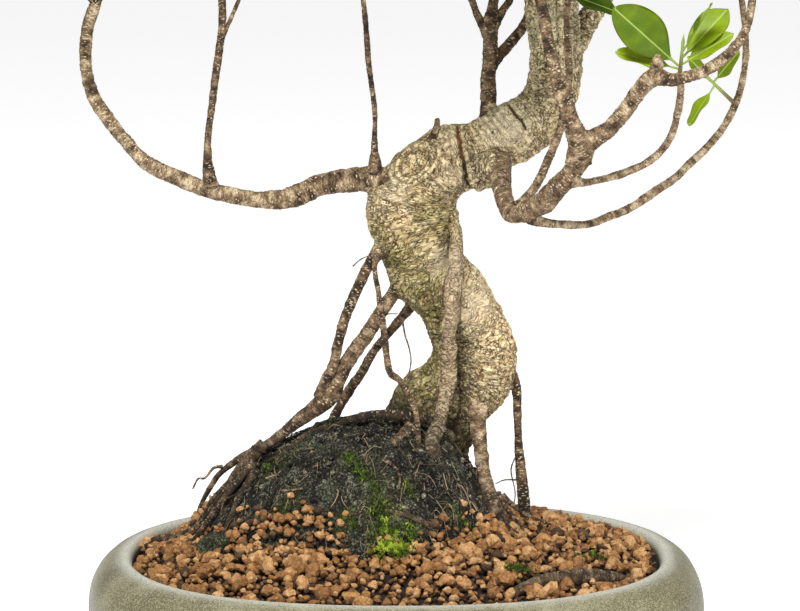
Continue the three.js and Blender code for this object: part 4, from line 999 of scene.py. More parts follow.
def tube(line, sides, bumps=0.0):
    """A closed tube along a line of x, y, z, radius: centre + (radius + bump) * (side cos + over sin)."""
    centres = line[:, :3]
    _, side, over = line_frames(centres)
    angle = turns(sides)
    spoke = side[:, None] * np.cos(angle)[:, None] + over[:, None] * np.sin(angle)[:, None]
    reach = line[:, 3][:, None] + bumps + 0 * angle
    points = centres[:, None] + reach[..., None] * spoke
    return np.vstack([points.reshape(-1, 3), centres[[0, -1]]]), ring_faces(len(line), sides)


def trunk_lines():
    """The strands and collars that the skin goes over. A collar starts a fifth thicker than its limb and
    tapers to three quarters of it, so that the limb's own tube comes out of it."""
    lines = []
    for name, root_like in STRANDS.items():
        lines.append((smooth_line(LIMBS[name], 1.6)[0], root_like))
    for name, rows in COLLARS.items():
        line = smooth_line(LIMBS[name][:rows], 1.2)[0]
        line[:, 3] *= np.linspace(1.2, 0.74, len(line))
        lines.append((line, 0.5))
    return lines


def skinned(shapes, step):
    """One closed skin of squares over overlapping tubes, from Blender's voxel remesh: its points, squares
    and edges, in millimetres."""
    points, faces = joined(shapes)
    core = make_piece("core", points, faces, bpy.data.materials.new("core"))
    core.modifiers.new("skin", "REMESH").voxel_size = step * MM
    mesh = core.evaluated_get(bpy.context.evaluated_depsgraph_get()).to_mesh()
    found = np.empty(len(mesh.vertices) * 3, np.float32)
    mesh.vertices.foreach_get("co", found)
    corners = np.empty(len(mesh.loops), np.int32)
    mesh.loops.foreach_get("vertex_index", corners)
    edges = np.empty(len(mesh.edges) * 2, np.int32)
    mesh.edges.foreach_get("vertices", edges)
    data = core.data
    bpy.data.objects.remove(core)
    bpy.data.meshes.remove(data)
    return found.reshape(-1, 3).astype(float) / MM, corners.reshape(-1, 4), edges.reshape(-1, 2)


def relaxed(points, edges, rounds, share):
    """Moves each point by a share of the way to its neighbours' mean, that many times over."""
    count = np.bincount(edges.ravel(), minlength=len(points))[:, None]
    for _ in range(rounds):
        total = np.stack([np.bincount(edges[:, 0], points[edges[:, 1], k], len(points))
                          + np.bincount(edges[:, 1], points[edges[:, 0], k], len(points))
                          for k in range(3)], axis=1)
        points = points + share * (total / count - points)
    return points


def facing(points, squares):
    """Each point's unit normal: the sum of its squares' normals, which are the diagonals' cross product."""
    a, b, c, d = (points[squares[:, k]] for k in range(4))
    normal = np.cross(c - a, d - b)
    total = np.stack([np.bincount(squares.ravel(), np.repeat(normal[:, k], 4), len(points))
                      for k in range(3)], axis=1)
    return total / np.maximum(np.linalg.norm(total, axis=1), 1e-9)[:, None]


def straightened(points, lines):
    """Each point's place as if its strand stood straight: mean radius * cosine, mean radius * sine and
    the length along, and how root-like the strand is: the one with the least |p - c| ** 2 - r ** 2."""
    centres = np.vstack([line[:, :3] for line, _ in lines])
    radii = np.concatenate([line[:, 3] for line, _ in lines])
    lengths, axes, middles, kinds = [], [], [], []
    for number, (line, root_like) in enumerate(lines):
        step = np.linalg.norm(np.diff(line[:, :3], axis=0), axis=1)
        lengths.append(np.concatenate([[0], np.cumsum(step)]) + 700 * (number + 1))
        axes.append(np.stack(line_frames(line[:, :3]), axis=1))
        middles.append(np.full(len(line), line[:, 3].mean()))
        kinds.append(np.full(len(line), root_like))
    lengths, axes, middles, kinds = (np.concatenate(part) for part in (lengths, axes, middles, kinds))
    nearest = np.empty(len(points), int)
    for start in range(0, len(points), 8000):
        part = points[start:start + 8000]
        power = (centres ** 2).sum(1) - 2 * part @ centres.T - radii ** 2
        nearest[start:start + 8000] = np.argmin(power, axis=1)
    away = points - centres[nearest]
    along, side, over = ((away * axes[nearest, k]).sum(1) for k in range(3))
    around = middles[nearest] / np.maximum(np.hypot(side, over), 0.1)
    return np.stack([side * around, over * around, lengths[nearest] + along], axis=1), kinds[nearest]


def spots(points, kind):
    """How far a kind of patch covers each point: the strongest of its spots, each strength * exp(-dd / rr),
    where the distance d counts a fifth of the depth."""
    share = np.zeros(len(points))
    for x, y, z, reach, strength in BARK_SPOTS[kind]:
        far = (((points - [x, y, z]) * [1, 0.2, 1]) ** 2).sum(1) / reach ** 2
        share = np.maximum(share, np.minimum(1, strength * np.exp(-far)))
    return share


def crack_distance(points, crack):
    """The distance in the XZ plane from a cracked line, and the share of the way along it."""
    flat = points[:, [0, 2]] + np.stack([noise(points, 3.5, 84, 2), noise(points, 3.5, 85, 2)], axis=1)
    nearest = np.full(len(points), 99.0)
    part = np.zeros(len(points))
    for row, (a, b) in enumerate(zip(np.array(crack[:-1]), np.array(crack[1:]))):
        t = np.clip((flat - a) @ (b - a) / ((b - a) @ (b - a)), 0, 1)
        far = np.linalg.norm(flat - a - t[:, None] * (b - a), axis=1)
        part = np.where(far < nearest, (row + t) / (len(crack) - 1), part)
        nearest = np.minimum(nearest, far)
    return nearest, part


def swollen(points):
    """The knobs and swellings on the trunk, in mm: the sum of each one's height * exp(-dd / rr)."""
    rise = np.zeros(len(points))
    for x, y, z, reach, height in SWELLINGS:
        rise += height * np.exp(-((points - [x, y, z]) ** 2).sum(1) / reach ** 2)
    return rise


def bark_grain(points, straight, root_like):
    """The straight place, set askew by noise, so that rings and plates waver as bark does. On the bend of
    the trunk the rings also climb to the right, by slant * the way round."""
    slant = 0.42 * (1 - root_like) * bell(points[:, 2] - 250, 34)
    skew = 2.6 * noise(straight, 13, 71) + 1.3 * noise(straight, 4.6, 72) + slant * straight[:, 1]
    return straight + np.stack([noise(straight, 3.4, 76), noise(straight, 3.4, 77), skew], axis=1)


def bark_relief(points, normals, grain, root_like):
    """The height of the bark above the skin, with the marks that its finish reads. Ring wrinkles are
    |sin| of the length along the grain, and plates are domes 1 - dd over cells with sunk seams."""
    front = np.clip(0.3 - normals[:, 1], 0, 1)
    grey = spots(points, "grey")
    patchy = noise(points, 22, 75)
    ringed = spots(points, "ringed")
    wrinkled = np.clip(0.5 + 0.8 * patchy + 0.6 * ringed, 0.15, 1)
    wrinkled = wrinkled * (1 - 0.6 * grey) * (1 - 0.3 * root_like)
    corky = np.clip((points[:, 2] - CORK_FROM) / 25, 0, 1)
    scaly = np.clip(0.75 - 0.6 * patchy - 0.55 * root_like + 0.35 * corky, 0.1, 1) * (1 - 0.75 * grey)
    ring = np.abs(np.sin(np.pi * grain[:, 2] / RING_SPACING))
    fissure = corky * bell(noise(grain * [1.3, 1.3, 0.35], 4.6, 83, 2), 0.09)
    near, second = cells(grain * [1, 1, 1.45], PLATE_SIZE, 73)
    dome = np.clip(1 - (near / 0.62) ** 2, 0, 1)
    seam = np.clip((second - near) / 0.3, 0, 1)
    crease = bell(noise(grain * [1, 1, 1.9], 4.4, 79, 2), 0.1) * (1 - grey)
    split = np.clip(0.5 + 1.6 * noise(points, 6, 82), 0, 1)
    crease = crease * (1 - 0.5 * root_like)
    height = 1.3 * noise(points, 15, 70, 2) + 1.1 * noise(points, 6.5, 74) + swollen(points)
    plates = 0.6 * wrinkled * (ring ** 0.6 - 0.8) + scaly * (0.7 * dome + 0.35 * seam - 0.6)
    height += plates - 0.75 * crease
    striped = np.exp(-((points[:, [0, 2]] - STRIPES_AT) ** 2).sum(1) / STRIPES_REACH ** 2)
    across = STRIPES_TURN[0] * points[:, 0] + STRIPES_TURN[1] * points[:, 2]
    stripe = np.sin(across + noise(points, 5, 86))
    height += 0.5 * striped * stripe - 0.9 * fissure
    # The crevice mark darkens troughs, seams, creases, fissures and cracks: partly the bark's own darker
    # cracks, partly painted shade in them.
    crevice = np.max([0.6 * split * wrinkled * (1 - ring) ** 3, 0.75 * split * scaly * (1 - seam) ** 2,
                      0.9 * split * crease ** 1.5, 0.7 * striped * np.clip(-stripe, 0, 1) ** 2,
                      0.85 * fissure ** 1.5], axis=0)

    away = points - SCAR
    across = away[:, 0] * math.cos(SCAR_TILT) + away[:, 2] * math.sin(SCAR_TILT)
    up = away[:, 2] * math.cos(SCAR_TILT) - away[:, 0] * math.sin(SCAR_TILT)
    out = np.hypot(across / SCAR_REACH[0], up / SCAR_REACH[1]) + 0.05 * noise(points, 3, 78)
    rim = front * (bell(out - 1, 0.13) + 0.8 * bell(out - 1.34, 0.11))
    inside = front * (out < 0.86)
    height = height * (1 - 0.8 * front * (out < 1.5)) + 1.5 * rim - 0.9 * inside
    height += inside * (1.1 * noise(points, 1.9, 80, 2) + 0.5)
    crevice = np.max([crevice * (1 - np.clip(rim + inside, 0, 1)), front * bell(out - 0.8, 0.06),
                      0.75 * front * bell(out - 1.17, 0.05),
                      inside * np.clip(-1.6 * noise(points, 1.9, 80, 2), 0, 1)], axis=0)

    rust = np.zeros(len(points))
    for crack, width, rusted in zip(CRACKS, (0.8, 0.6), (0.75, 0.6)):
        far, part = crack_distance(points, crack)
        open_part = front * np.clip(8 * np.minimum(part, 1 - part) + 0.3, 0, 1)
        height -= CRACK_DEPTH * open_part * bell(far, width)
        height += 0.9 * open_part * bell(far - 2.4, 1.2)
        crevice = np.maximum(crevice, open_part * bell(far, 0.7 * width))
        rust = np.maximum(rust, rusted * open_part * bell(far, 1.3) * np.clip(1.5 - 2.4 * part, 0, 1))
    return height, {"crevice": np.clip(crevice, 0, 1), "rust": rust, "grey": grey, "root_like": root_like,
                    "striped": striped * np.clip(stripe + 0.2, 0, 1)}


def hollowness(points, normals, edges):
    """How sunk each point is: its depth in mm under the surface that its neighbours level out to."""
    # The bark finish darkens sunk points by this depth, as painted shade.
    return ((relaxed(points, edges, 6, 0.5) - points) * normals).sum(1)


def lines_of(place, size, outer, inner):
    """Wavering thin lines, where noise of that size passes 0.5: 1 nearer than inner, and 0 past outer."""
    past = add_node("ShaderNodeMath", {0: grain_of(place, size, 3, 0.6), 1: 0.5},
                    operation="SUBTRACT").outputs[0]
    return spread(figured("ABSOLUTE", past), outer, inner)


def bark_finish():
    material, shader = new_finish("trunk_bark", {"Roughness": 0.85, "Specular IOR Level": 0.3})
    grain = mark_of(material, "grain", "Vector")
    flat = add_node("ShaderNodeVectorMath", {0: grain, 1: (1, 1, 1.7)}, operation="MULTIPLY").outputs[0]
    tone = grain_of(grain, 9, 5, 0.62)
    fine = grain_of(flat, 0.9, 4, 0.7)
    lump_inputs = {"Vector": flat, "Scale": 1 / LUMP_SIZE}
    lump = add_node("ShaderNodeTexVoronoi", lump_inputs)
    border = add_node("ShaderNodeTexVoronoi", lump_inputs, feature="DISTANCE_TO_EDGE").outputs["Distance"]
    smooth_skin = mark_of(material, "grey")
    dense = figured("SUBTRACT", spread(grain_of(grain, 10, 2), 0.32, 0.56), times(smooth_skin, 0.7))
    loose = scaled(dense, -0.26, 0.26)
    lumps = spread(figured("ADD", lump.outputs["Distance"], loose), 0.66, 0.3)
    shade = add_node("ShaderNodeSeparateColor", {"Color": lump.outputs["Color"]}).outputs[0]
    split = spread(grain_of(grain, 5, 2), 0.44, 0.6)
    seams = times(spread(border, 0.1, 0.01), split)
    creases = times(lines_of(flat, 4, 0.044, 0.007), scaled(smooth_skin, -0.5, 1))
    seams = figured("MAXIMUM", seams, creases)
    ridge = spread(mark_of(material, "hollow"), 0, -0.32)
    # Sunk points are darkened as painted shade.
    sunk = spread(mark_of(material, "hollow"), 0.1, 0.5)

    colour = ramp(scaled(tone, 0.5, times(fine, 0.5)), (0.32, BARK_DEEP),
                  (0.5, BARK_MID), (0.66, BARK_SKIN))
    root_like = mark_of(material, "root_like")
    patch = times(mark_of(material, "cream"), spread(tone, 0.3, 0.5))
    rooty = spread(scaled(fine, 0.7, times(tone, 0.3)), 0.4, 0.56)
    colour = layered(colour, (patch, BARK_CREAM),
                     (times(root_like, 0.9), blended(rooty, ROOT_BROWN, ROOT_SKIN)),
                     (times(smooth_skin, 0.7), BARK_GREY),
                     (times(mark_of(material, "tan"), 0.55), BARK_TAN))
    cream = times(lumps, scaled(shade, 0.75, 0.25))
    cream = figured("MAXIMUM", cream, times(ridge, 0.75))
    cream = figured("MAXIMUM", cream, mark_of(material, "striped"))
    shown = scaled(mark_of(material, "brown"), 0.5, scaled(root_like, -0.55, 0.92))
    cream = times(cream, shown)
    mossy = spread(grain_of(grain, 3, 4, 0.7), 0.36, 0.58)
    mossy = times(mark_of(material, "moss"), mossy)
    mossy = times(mossy, scaled(root_like, -0.92, 1))
    gloom = figured("SUBTRACT", scaled(cream, -0.4, 0.95), times(root_like, 0.7))
    gloom = times(mark_of(material, "dark"), gloom)
    gloom = times(gloom, spread(grain_of(grain, 4, 3, 0.7), 0.68, 0.42))
    # The crevice colour goes on the dark seams and cracks, which are partly painted shade, and as painted
    # shade on sunk hollows.
    crevice_and_hollow_shade = figured("MAXIMUM", mark_of(material, "crevice"), figured("MAXIMUM", sunk, seams))
    crevice_and_hollow_shade = times(crevice_and_hollow_shade, scaled(root_like, -0.08, 0.92))
    colour = layered(colour, (times(mark_of(material, "brown"), 0.85), ROOT_BROWN),
                     (cream, BARK_CREAM), (times(mossy, 0.85), BARK_MOSS), (gloom, BARK_SHADE),
                     (crevice_and_hollow_shade, BARK_CREVICE), (mark_of(material, "rust"), BARK_RUST),
                     (times(mark_of(material, "earthy"), 0.85), BARK_EARTH))
    height = scaled(seams, -0.3, scaled(fine, 0.35, 0.3))
    return surfaced(material, shader, colour, scaled(lumps, 0.45, height), 0.0011)


def earthiness(points, reach):
    """How soiled the wood is: 1 at the ground and 0 from the reach above it in mm, with an uneven edge."""
    above = points[:, 2] - np.maximum(mound_height(points[:, 0], points[:, 1]), 88)
    return np.clip(1 - (above + 0.3 * reach * noise(points, 6, 81, 2)) / reach, 0, 1)


LIMBS = {**TRUNK, **BRANCHES, **CROWN, **ROOTS}
strand_lines = trunk_lines()
skin, squares, skin_edges = skinned([tube(line, 28) for line, _ in strand_lines], SKIN_STEP)
skin = relaxed(skin, skin_edges, 6, 0.5)
normals = facing(skin, squares)
straight, root_like = straightened(skin, strand_lines)
root_like = root_like * np.clip((ROOTY_BELOW - skin[:, 2]) / 22, 0.15, 1)
grain = bark_grain(skin, straight, root_like)
height, bark_marks = bark_relief(skin, normals, grain, root_like)
skin = relaxed(skin + normals * (height + 0.25)[:, None], skin_edges, 1, 0.1)
trunk = make_piece("trunk_and_collars", skin, [squares], bark_finish(), grain=grain, **bark_marks,
                   **{kind: spots(skin, kind) for kind in ("moss", "tan", "dark", "brown", "cream")},
                   hollow=hollowness(skin, normals, skin_edges), earthy=earthiness(skin, SOILED_TRUNK))
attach(trunk, "root")
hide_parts("tree")

# Branches and roots
# The thinner limbs are round and brown, ringed and dotted with pale breathing pores. The roots
# that stand in the ground are alike, and black with soil at their feet.

FOOT_FLARE = 0.45
RIDGE_SPACING = 2.6
BAND_SPACING = 6.5
PORE_SPACING = 1.05
SOILED_LIMB = 20
LIMB_DARK = (48, 37, 28)
LIMB_BROWN = (90, 70, 50)
LIMB_TAN = (146, 120, 90)
LIMB_PALE = (214, 193, 158)
LIMB_CRACK = (36, 26, 18)
LIMB_EARTH = (40, 32, 25)
PORE = (230, 208, 172)
PALE_LIMBS = {"front_branch": 0.5, "front_right_arm": 0.56, "front_left_arm": 0.4, "left_branch": 0.6,
              "lower_right_twig": 0.75, "slender_twig": 0.85, "rising_twig": 0.4, "pruned_stub": 0.7,
              "back_riser": 0.2, "right_prop_root": 0.5, "crest_rootlet": 0.5, "prop_root_thick": 0.3,
              "hanging_root": 0.15, "ridge_root": -0.3, "far_right_root": -0.15, "surface_root": 0.3,
              "pale_stub": 0.5, "pale_rootlet": 1, "fan_outer": -0.15, "fan_low": -0.15,
              "fan_middle": -0.15, "fan_inner": -0.1, "fan_cross": -0.1}
CLEAN_LIMBS = {"surface_root": 0.6, "pale_stub": 0.35, "foot_twig": 0.4, "moss_twig": 0.3,
               "heel_root": 0.6, "lying_rootlet": 0.5, "heel_root_right": 0.6, "heel_root_low": 0.6,
               "pale_rootlet": 0}
BURIED_STARTS = {"front_left_arm": [(98, -53, 311, 4)], "front_right_arm": [(95, -52, 310, 4)]}


def limb_shape(number, name):
    """A limb's tube with its bark: a flared foot, radius * (1 + FOOT_FLARE * exp(-s / 2r)) at s along it,
    swellings a few radii apart, fine ring ridges |sin| and pitting. Its rings are under 1 mm apart."""
    rows = BURIED_STARTS.get(name, []) + LIMBS[name]
    thin = min(radius for *_, radius in rows)
    line, along = smooth_line(rows, 0.7 if thin < 2.5 else 0.9)
    line[:, 3] = np.maximum(line[:, 3], 0.3)
    line[:, 3] *= 1 + FOOT_FLARE * np.exp(-along / (2 * rows[0][3]))
    line[-3:, 3] *= np.array([0.97, 0.8, 0.45])
    sides = 14 if thin < 2.2 else 20
    angle = turns(sides)
    radius = line[:, 3][:, None]
    straight = np.stack([radius * np.cos(angle), radius * np.sin(angle), along[:, None] + 0 * angle],
                        axis=-1)
    straight = straight.reshape(-1, 3) + [0, 0, 900 * (number + 1)]
    swell = 0.12 * noise(straight, 3.2 * float(radius.mean()), 91, 2) + 0.09 * noise(straight, 3.1, 94)
    skew = 1.1 * noise(straight, 3, 92)
    ridge = np.abs(np.sin(np.pi * (straight[:, 2] + skew) / RIDGE_SPACING)) ** 0.5
    pitted = 0.2 * noise(straight * [1, 1, 1.6], 1.3, 93, 2) + 0.14 * (ridge - 0.8)
    swell, pitted = (relief.reshape(len(line), sides) for relief in (swell, pitted))
    bumps = swell * radius + pitted * np.minimum(1.6, radius / 2)
    points, faces = tube(line, sides, bumps)
    marks = np.vstack([straight, straight[:1], straight[-1:]])
    mottled = PALE_LIMBS.get(name, 0.1) + (0.45 if thin > 2.8 else 0.85) * noise(marks, 3.6, 95)
    banded = np.sin(np.pi * (marks[:, 2] + 1.6 * noise(marks, 6, 96)) / BAND_SPACING)
    ringed = bell(banded, 0.26)
    mottled += (0.12 if thin > 2.8 else 0.4) * ringed
    buried = earthiness(points, SOILED_LIMB) * CLEAN_LIMBS.get(name, 1)
    return points, faces, {"grain": marks, "pale": mottled, "earthy": buried}


def limb_finish():
    material, shader = new_finish("limb_bark", {"Roughness": 0.8, "Specular IOR Level": 0.3})
    grain = mark_of(material, "grain", "Vector")
    wide = add_node("ShaderNodeVectorMath", {0: grain, 1: (0.45, 0.45, 1)},
                    operation="MULTIPLY").outputs[0]
    tone = spread(grain_of(wide, 3.4, 5, 0.7), 0.32, 0.68)
    fine = spread(grain_of(wide, 0.7, 4, 0.75), 0.3, 0.7)
    pores = add_node("ShaderNodeTexVoronoi", {"Vector": wide, "Scale": 1 / PORE_SPACING})
    size = add_node("ShaderNodeSeparateColor", {"Color": pores.outputs["Color"]}).outputs[0]
    reached = scaled(size, -0.28, pores.outputs["Distance"])
    pored = times(spread(reached, 0.2, 0.06), spread(grain_of(grain, 6, 2), 0.38, 0.56))
    pale = mark_of(material, "pale")
    value = scaled(pale, 0.34, scaled(fine, 0.26, scaled(tone, 0.34, 0.04)))
    colour = ramp(value, (0.2, LIMB_DARK), (0.36, LIMB_BROWN), (0.6, LIMB_TAN), (0.86, LIMB_PALE))
    cracks = lines_of(wide, 1.6, 0.03, 0.004)
    colour = layered(colour, (times(pored, 0.85), PORE),
                     (times(cracks, 0.75), LIMB_CRACK),
                     (times(mark_of(material, "earthy"), 0.8), LIMB_EARTH))
    height = scaled(cracks, -0.3, scaled(fine, 0.5, 0.2))
    return surfaced(material, shader, colour, scaled(pored, 0.5, height), 0.0007)


ROOTLETS = {
    "fan_curl": [
        (-97, 12, 131.6, 0.9), (-102, 12, 130.8, 0.8), (-107, 12, 125.1, 0.7), (-110.9, 12, 124.5, 0.6),
        (-114, 12, 118.6, 0.6)],
    "fan_inner": [
        (-82.5, 0, 136.3, 1.8), (-88, -3, 128.7, 1.6), (-91.4, -6.5, 120, 1.5),
        (-95.4, -10.5, 113.8, 1.3), (-96.1, -19, 104, 1)],
    "fan_cross": [
        (-91.7, 8, 124.6, 1.5), (-98, 3, 120, 1.3), (-105, 4, 110.5, 1.2), (-109.5, 3, 102, 1),
        (-114.1, 2, 94, 0.8)],
    "fan_outer": [
        (-79, -2, 137, 2.4), (-88, -7, 127, 2.2), (-98, -11, 115, 1.9), (-106, -14, 104, 1.6),
        (-113, -15, 95, 1.1)],
    "fan_low": [(-77, -8, 134, 2.1), (-85, -14, 123, 2), (-91, -20, 110.5, 1.7), (-96, -26, 99, 1.2)],
    "fan_middle": [(-84, -1, 132, 1.8), (-94, -3, 122, 1.6), (-104, -5, 110, 1.3), (-112, -6, 98, 1)],
    "pale_stub": [(8, -3, 156, 3), (2, -10, 152.8, 3), (-3, -16, 149.6, 2.7), (-6.5, -21, 145.5, 2)],
    "lying_rootlet": [
        (-112, 6, 97, 2), (-119, 9, 93.5, 2), (-126, 12, 91, 2.2), (-133, 18, 88.5, 2.3),
        (-139, 22, 86.5, 1.4)],
    "heel_root": [(56, 3, 118, 1.6), (61, -6, 112, 1.4), (66, -16, 107.5, 1), (70, -27, 105, 0.6)],
    "heel_root_right": [
        (59, 4, 117, 1.4), (67, -2, 110.5, 1.1), (77, -10, 107, 0.8), (86, -14, 104.5, 0.5)],
    "heel_root_low": [(55, 0, 117, 1.4), (58, -12, 112, 1.1), (61, -24, 107, 0.8), (67, -34, 104.5, 0.5)],
    "pale_rootlet": [(-84.4, -12, 124.1, 0.7), (-88.3, -13.5, 119.6, 0.8), (-89, -17.5, 116, 0.8)],
    "cross_rootlet": [
        (-79.6, -16, 125.2, 0.7), (-87.6, -14, 122.1, 0.6), (-95.1, -12, 117.4, 0.6),
        (-97, -14, 110, 0.6)],
    "black_root": [
        (-38, 8.5, 155, 1.8), (-49.2, 5.5, 151.4, 1.6), (-55.9, -1, 147.2, 1.4), (-62.3, -3.5, 143, 1.1),
        (-67.7, -7.5, 138, 0.9)],
    "foot_twig": [(-63.7, -28, 127.2, 0.6), (-57.6, -31, 128.1, 0.6), (-51, -33, 129.6, 0.6)],
    "moss_twig": [
        (-7.4, -28.5, 144.8, 0.9), (-1.3, -32, 141.6, 0.8), (1.9, -37, 136.2, 0.7), (0.8, -41, 131, 0.6)],
    "long_hair": [
        (3.4, 8, 214.4, 0.5), (4.7, 8, 207.1, 0.5), (6.8, 8, 200.3, 0.45), (8, 8, 192.6, 0.4),
        (6.8, 8, 185.1, 0.4), (4.7, 8, 181.1, 0.4)],
    "short_hair": [(-9.1, 8, 217.2, 0.4), (-4.2, 8, 218.9, 0.35), (0.8, 10, 218.6, 0.3)],
    "side_hair": [(67.5, 14, 123.5, 0.5), (60.6, 14, 123.5, 0.4), (55.1, 12, 121.7, 0.3)],
    "side_hair_long": [
        (67, 14, 138, 0.4), (64, 14, 129.2, 0.4), (66.3, 13, 116.6, 0.35), (65.2, 12, 108, 0.3)],
    "loose_hair": [(-24.1, 10, 245.3, 0.4), (-19.1, 12, 249.2, 0.35), (-12, 14, 251.5, 0.3)],
    "spur": [(20, 14, 314, 2.8), (21.5, 14, 320, 2), (22.3, 14, 324, 1.5), (22.5, 14, 327, 1.7)],
}

LIMBS.update(ROOTLETS)
limb_bark = limb_finish()
groups = {"branches": list(BRANCHES), "crown_limbs": list(CROWN), "rootlets": list(ROOTLETS),
          "roots": [name for name in ROOTS if name != "trunk_root"]}
for group, names in groups.items():
    points, faces, marks = joined_with_marks([limb_shape(*pair) for pair in enumerate(names)])
    limbs = make_piece(group, points, faces, limb_bark, **marks)
    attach(limbs, "root")
    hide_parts("tree")

# The akadama
# Loose grains of baked volcanic clay, sieved at 3 to 8 mm, poured round the root ball and heaped
# a little towards the middle. A bed below carries them: small ones in its gaps, the common
# size on top, and a few large ones, with the smallest round the mound's foot. The bed, the small
# grains in the gaps and each grain's underside are darkened as painted shade; a few grains are damp.

BED_DROP = 3.4
BED_RINGS = 60
BED_COLUMNS = 200
BED_WALL = [(0, 15.3), (141.7, 15.3), (151.6, 34), (153.5, 46), (153, 57.7), (148.6, 67), (145.7, 74)]
GRAINS_REACH = (143.5, 109.5)
MOUND_GRAIN_MOST = 3.2
SHOULDER_END = 1.14
GRAIN_LAYERS = {"lower": (4.4, -2.4, 0.6, 0.3, 0.6, 2), "upper": (5.5, 0.6, 0.74, 0.42, 0, 3),
                "large": (15, 0.4, 1.52, 0.2, 0, 3), "shoulder": (3.7, 0.8, 0.7, 0.35, 0, 2)}
GRAIN_COLOURS = ((42, 25, 11), (118, 78, 40), (168, 119, 66), (222, 180, 128))
GRAIN_PIT = (52, 30, 14)
GRAIN_DUST = (236, 198, 152)
# Damp grains, and painted shade on the bed, the lower grains and each grain's underside.
GRAIN_DAMP_AND_SHADE = (32, 20, 11)
LYING_ROOT = np.vstack([smooth_line(ROOTS["surface_root"][4:], 1)[0],
                        smooth_line(ROOTLETS["lying_rootlet"], 1)[0]])


def grain_places(rng, spacing, jitter):
    """Places on a six-sided lattice, each moved at random, that lie in the mouth, and off the root ball,
    the clod and the root that lies on the soil."""
    column, row = (side.ravel() for side in np.mgrid[-45:46, -45:46])
    x = spacing * (column + 0.5 * (row % 2)) + rng.uniform(-jitter, jitter, column.size)
    y = spacing * 0.866 * row + rng.uniform(-jitter, jitter, row.size)
    inside = np.abs(x / GRAINS_REACH[0]) ** OVAL_POWER + np.abs(y / GRAINS_REACH[1]) ** OVAL_POWER < 1
    off_ball = mound_outward(x, y) > ball_edge(x, y) + 0.03 * rng.normal(size=x.size)
    clod_free = np.hypot(x - CLOD[0], y - CLOD[1]) > CLOD[3] * 0.75
    far = np.hypot(x[:, None] - LYING_ROOT[:, 0], y[:, None] - LYING_ROOT[:, 1]) - LYING_ROOT[:, 3]
    kept = inside & off_ball & clod_free & (far.min(axis=1) > 1.5)
    return x[kept], y[kept]


def akadama_finish():
    material, shader = new_finish("akadama_clay", {"Roughness": 0.72, "Specular IOR Level": 0.4})
    place = place_in(material)
    dust = grain_of(place, 0.0024, 5, 0.7)
    fine = grain_of(place, 0.0007, 3, 0.75)
    tone = scaled(dust, 0.85, scaled(mark_of(material, "shade"), 0.5, -0.2))
    dark, mid, warm, pale = GRAIN_COLOURS
    colour = ramp(tone, (0.14, dark), (0.36, mid), (0.56, warm), (0.86, pale))
    # The last layer is partly damp grains and partly painted shade between and under the grains.
    colour = layered(colour, (spread(fine, 0.44, 0.3), GRAIN_PIT),
                     (spread(fine, 0.6, 0.74), GRAIN_DUST),
                     (spread(mark_of(material, "damp"), 0, 1), GRAIN_DAMP_AND_SHADE))
    height = scaled(dust, 0.7, times(fine, 0.3))
    return surfaced(material, shader, colour, height, 0.0014)


def akadama_bed():
    """The soil below the loose grains: the wall's inside, closed by a rough top a little under the dome."""
    share = np.linspace(1, 0.02, BED_RINGS)
    reach = np.concatenate([[max(side, 0.5) for side, _ in BED_WALL], BED_WALL[-1][0] * share])[:, None]
    height = np.concatenate([[level for _, level in BED_WALL], np.full(BED_RINGS, -1.0)])[:, None]
    angle = turns(BED_COLUMNS)[None, :]
    x, y = oval(reach + 0 * angle, angle + 0 * reach)
    z = np.where(height < 0, dome_height(x, y) - BED_DROP + 1.2 * level_noise(x, y, 4, 21), height)
    points = np.stack([x, y, z], axis=-1).reshape(-1, 3)
    poles = np.array([[0, 0, BED_WALL[0][1]], [0, 0, SOIL_EDGE + SOIL_RISE - BED_DROP]])
    return np.vstack([points, poles]), ring_faces(len(reach), BED_COLUMNS)


clay = akadama_finish()
bed_points, bed_faces = akadama_bed()
# The bed is darkened all over, as painted shade in the gaps between the grains.
bed = make_piece("akadama_bed", bed_points, bed_faces, clay,
                 shade=np.full(len(bed_points), 0.2), damp=np.full(len(bed_points), 0.95))
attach(bed, "root")
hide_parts("akadama_soil")

rng = np.random.default_rng(41)
for layer, (spacing, lift, middle, vary, gap_shade, parts) in GRAIN_LAYERS.items():
    x, y = grain_places(rng, spacing, spacing * 0.42)
    if layer == "shoulder":
        x, y = (side[mound_outward(x, y) < SHOULDER_END] for side in (x, y))
    radii = np.clip(rng.lognormal(middle, vary, len(x)), 1.1, 7.2)
    on_mound = mound_outward(x, y) < 1.06
    radii = np.where(on_mound, np.minimum(radii, MOUND_GRAIN_MOST), radii)
    z = mound_height(x, y) + np.where(on_mound, 2 + 0.4 * lift, lift) + rng.uniform(-0.9, 0.9, len(x))
    z = z - 0.3 * (radii - 3)
    points, faces, corners = lumps(rng, np.stack([x, y, z], axis=1), radii, 0.45, parts)
    # Each grain's underside is darkened as painted shade, and the lower layer all over as painted shade in
    # the gaps. A few grains at random are damp.
    under = np.clip(0.15 - (points[:, 2] - np.repeat(z, corners)) / np.repeat(radii, corners), 0, 1)
    damp_and_gap_shade = np.where(rng.uniform(0, 1, len(x)) > 0.94, 0.75, gap_shade)
    grains = make_piece("akadama_grains_" + layer, points, faces, clay,
                        shade=np.repeat(rng.uniform(0, 1, len(x)) ** 0.8, corners),
                        damp=np.repeat(damp_and_gap_shade, corners) + under)
    grains.data.shade_flat()
    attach(grains, "root")
    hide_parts("akadama_soil")

# The leafy shoots
# Every twig ends in a green shoot with leaves two fifths of a turn apart, on short stalks. They are
# leathery and glossy, folded along a pale midrib, and a pointed bud closes the shoot's tip.

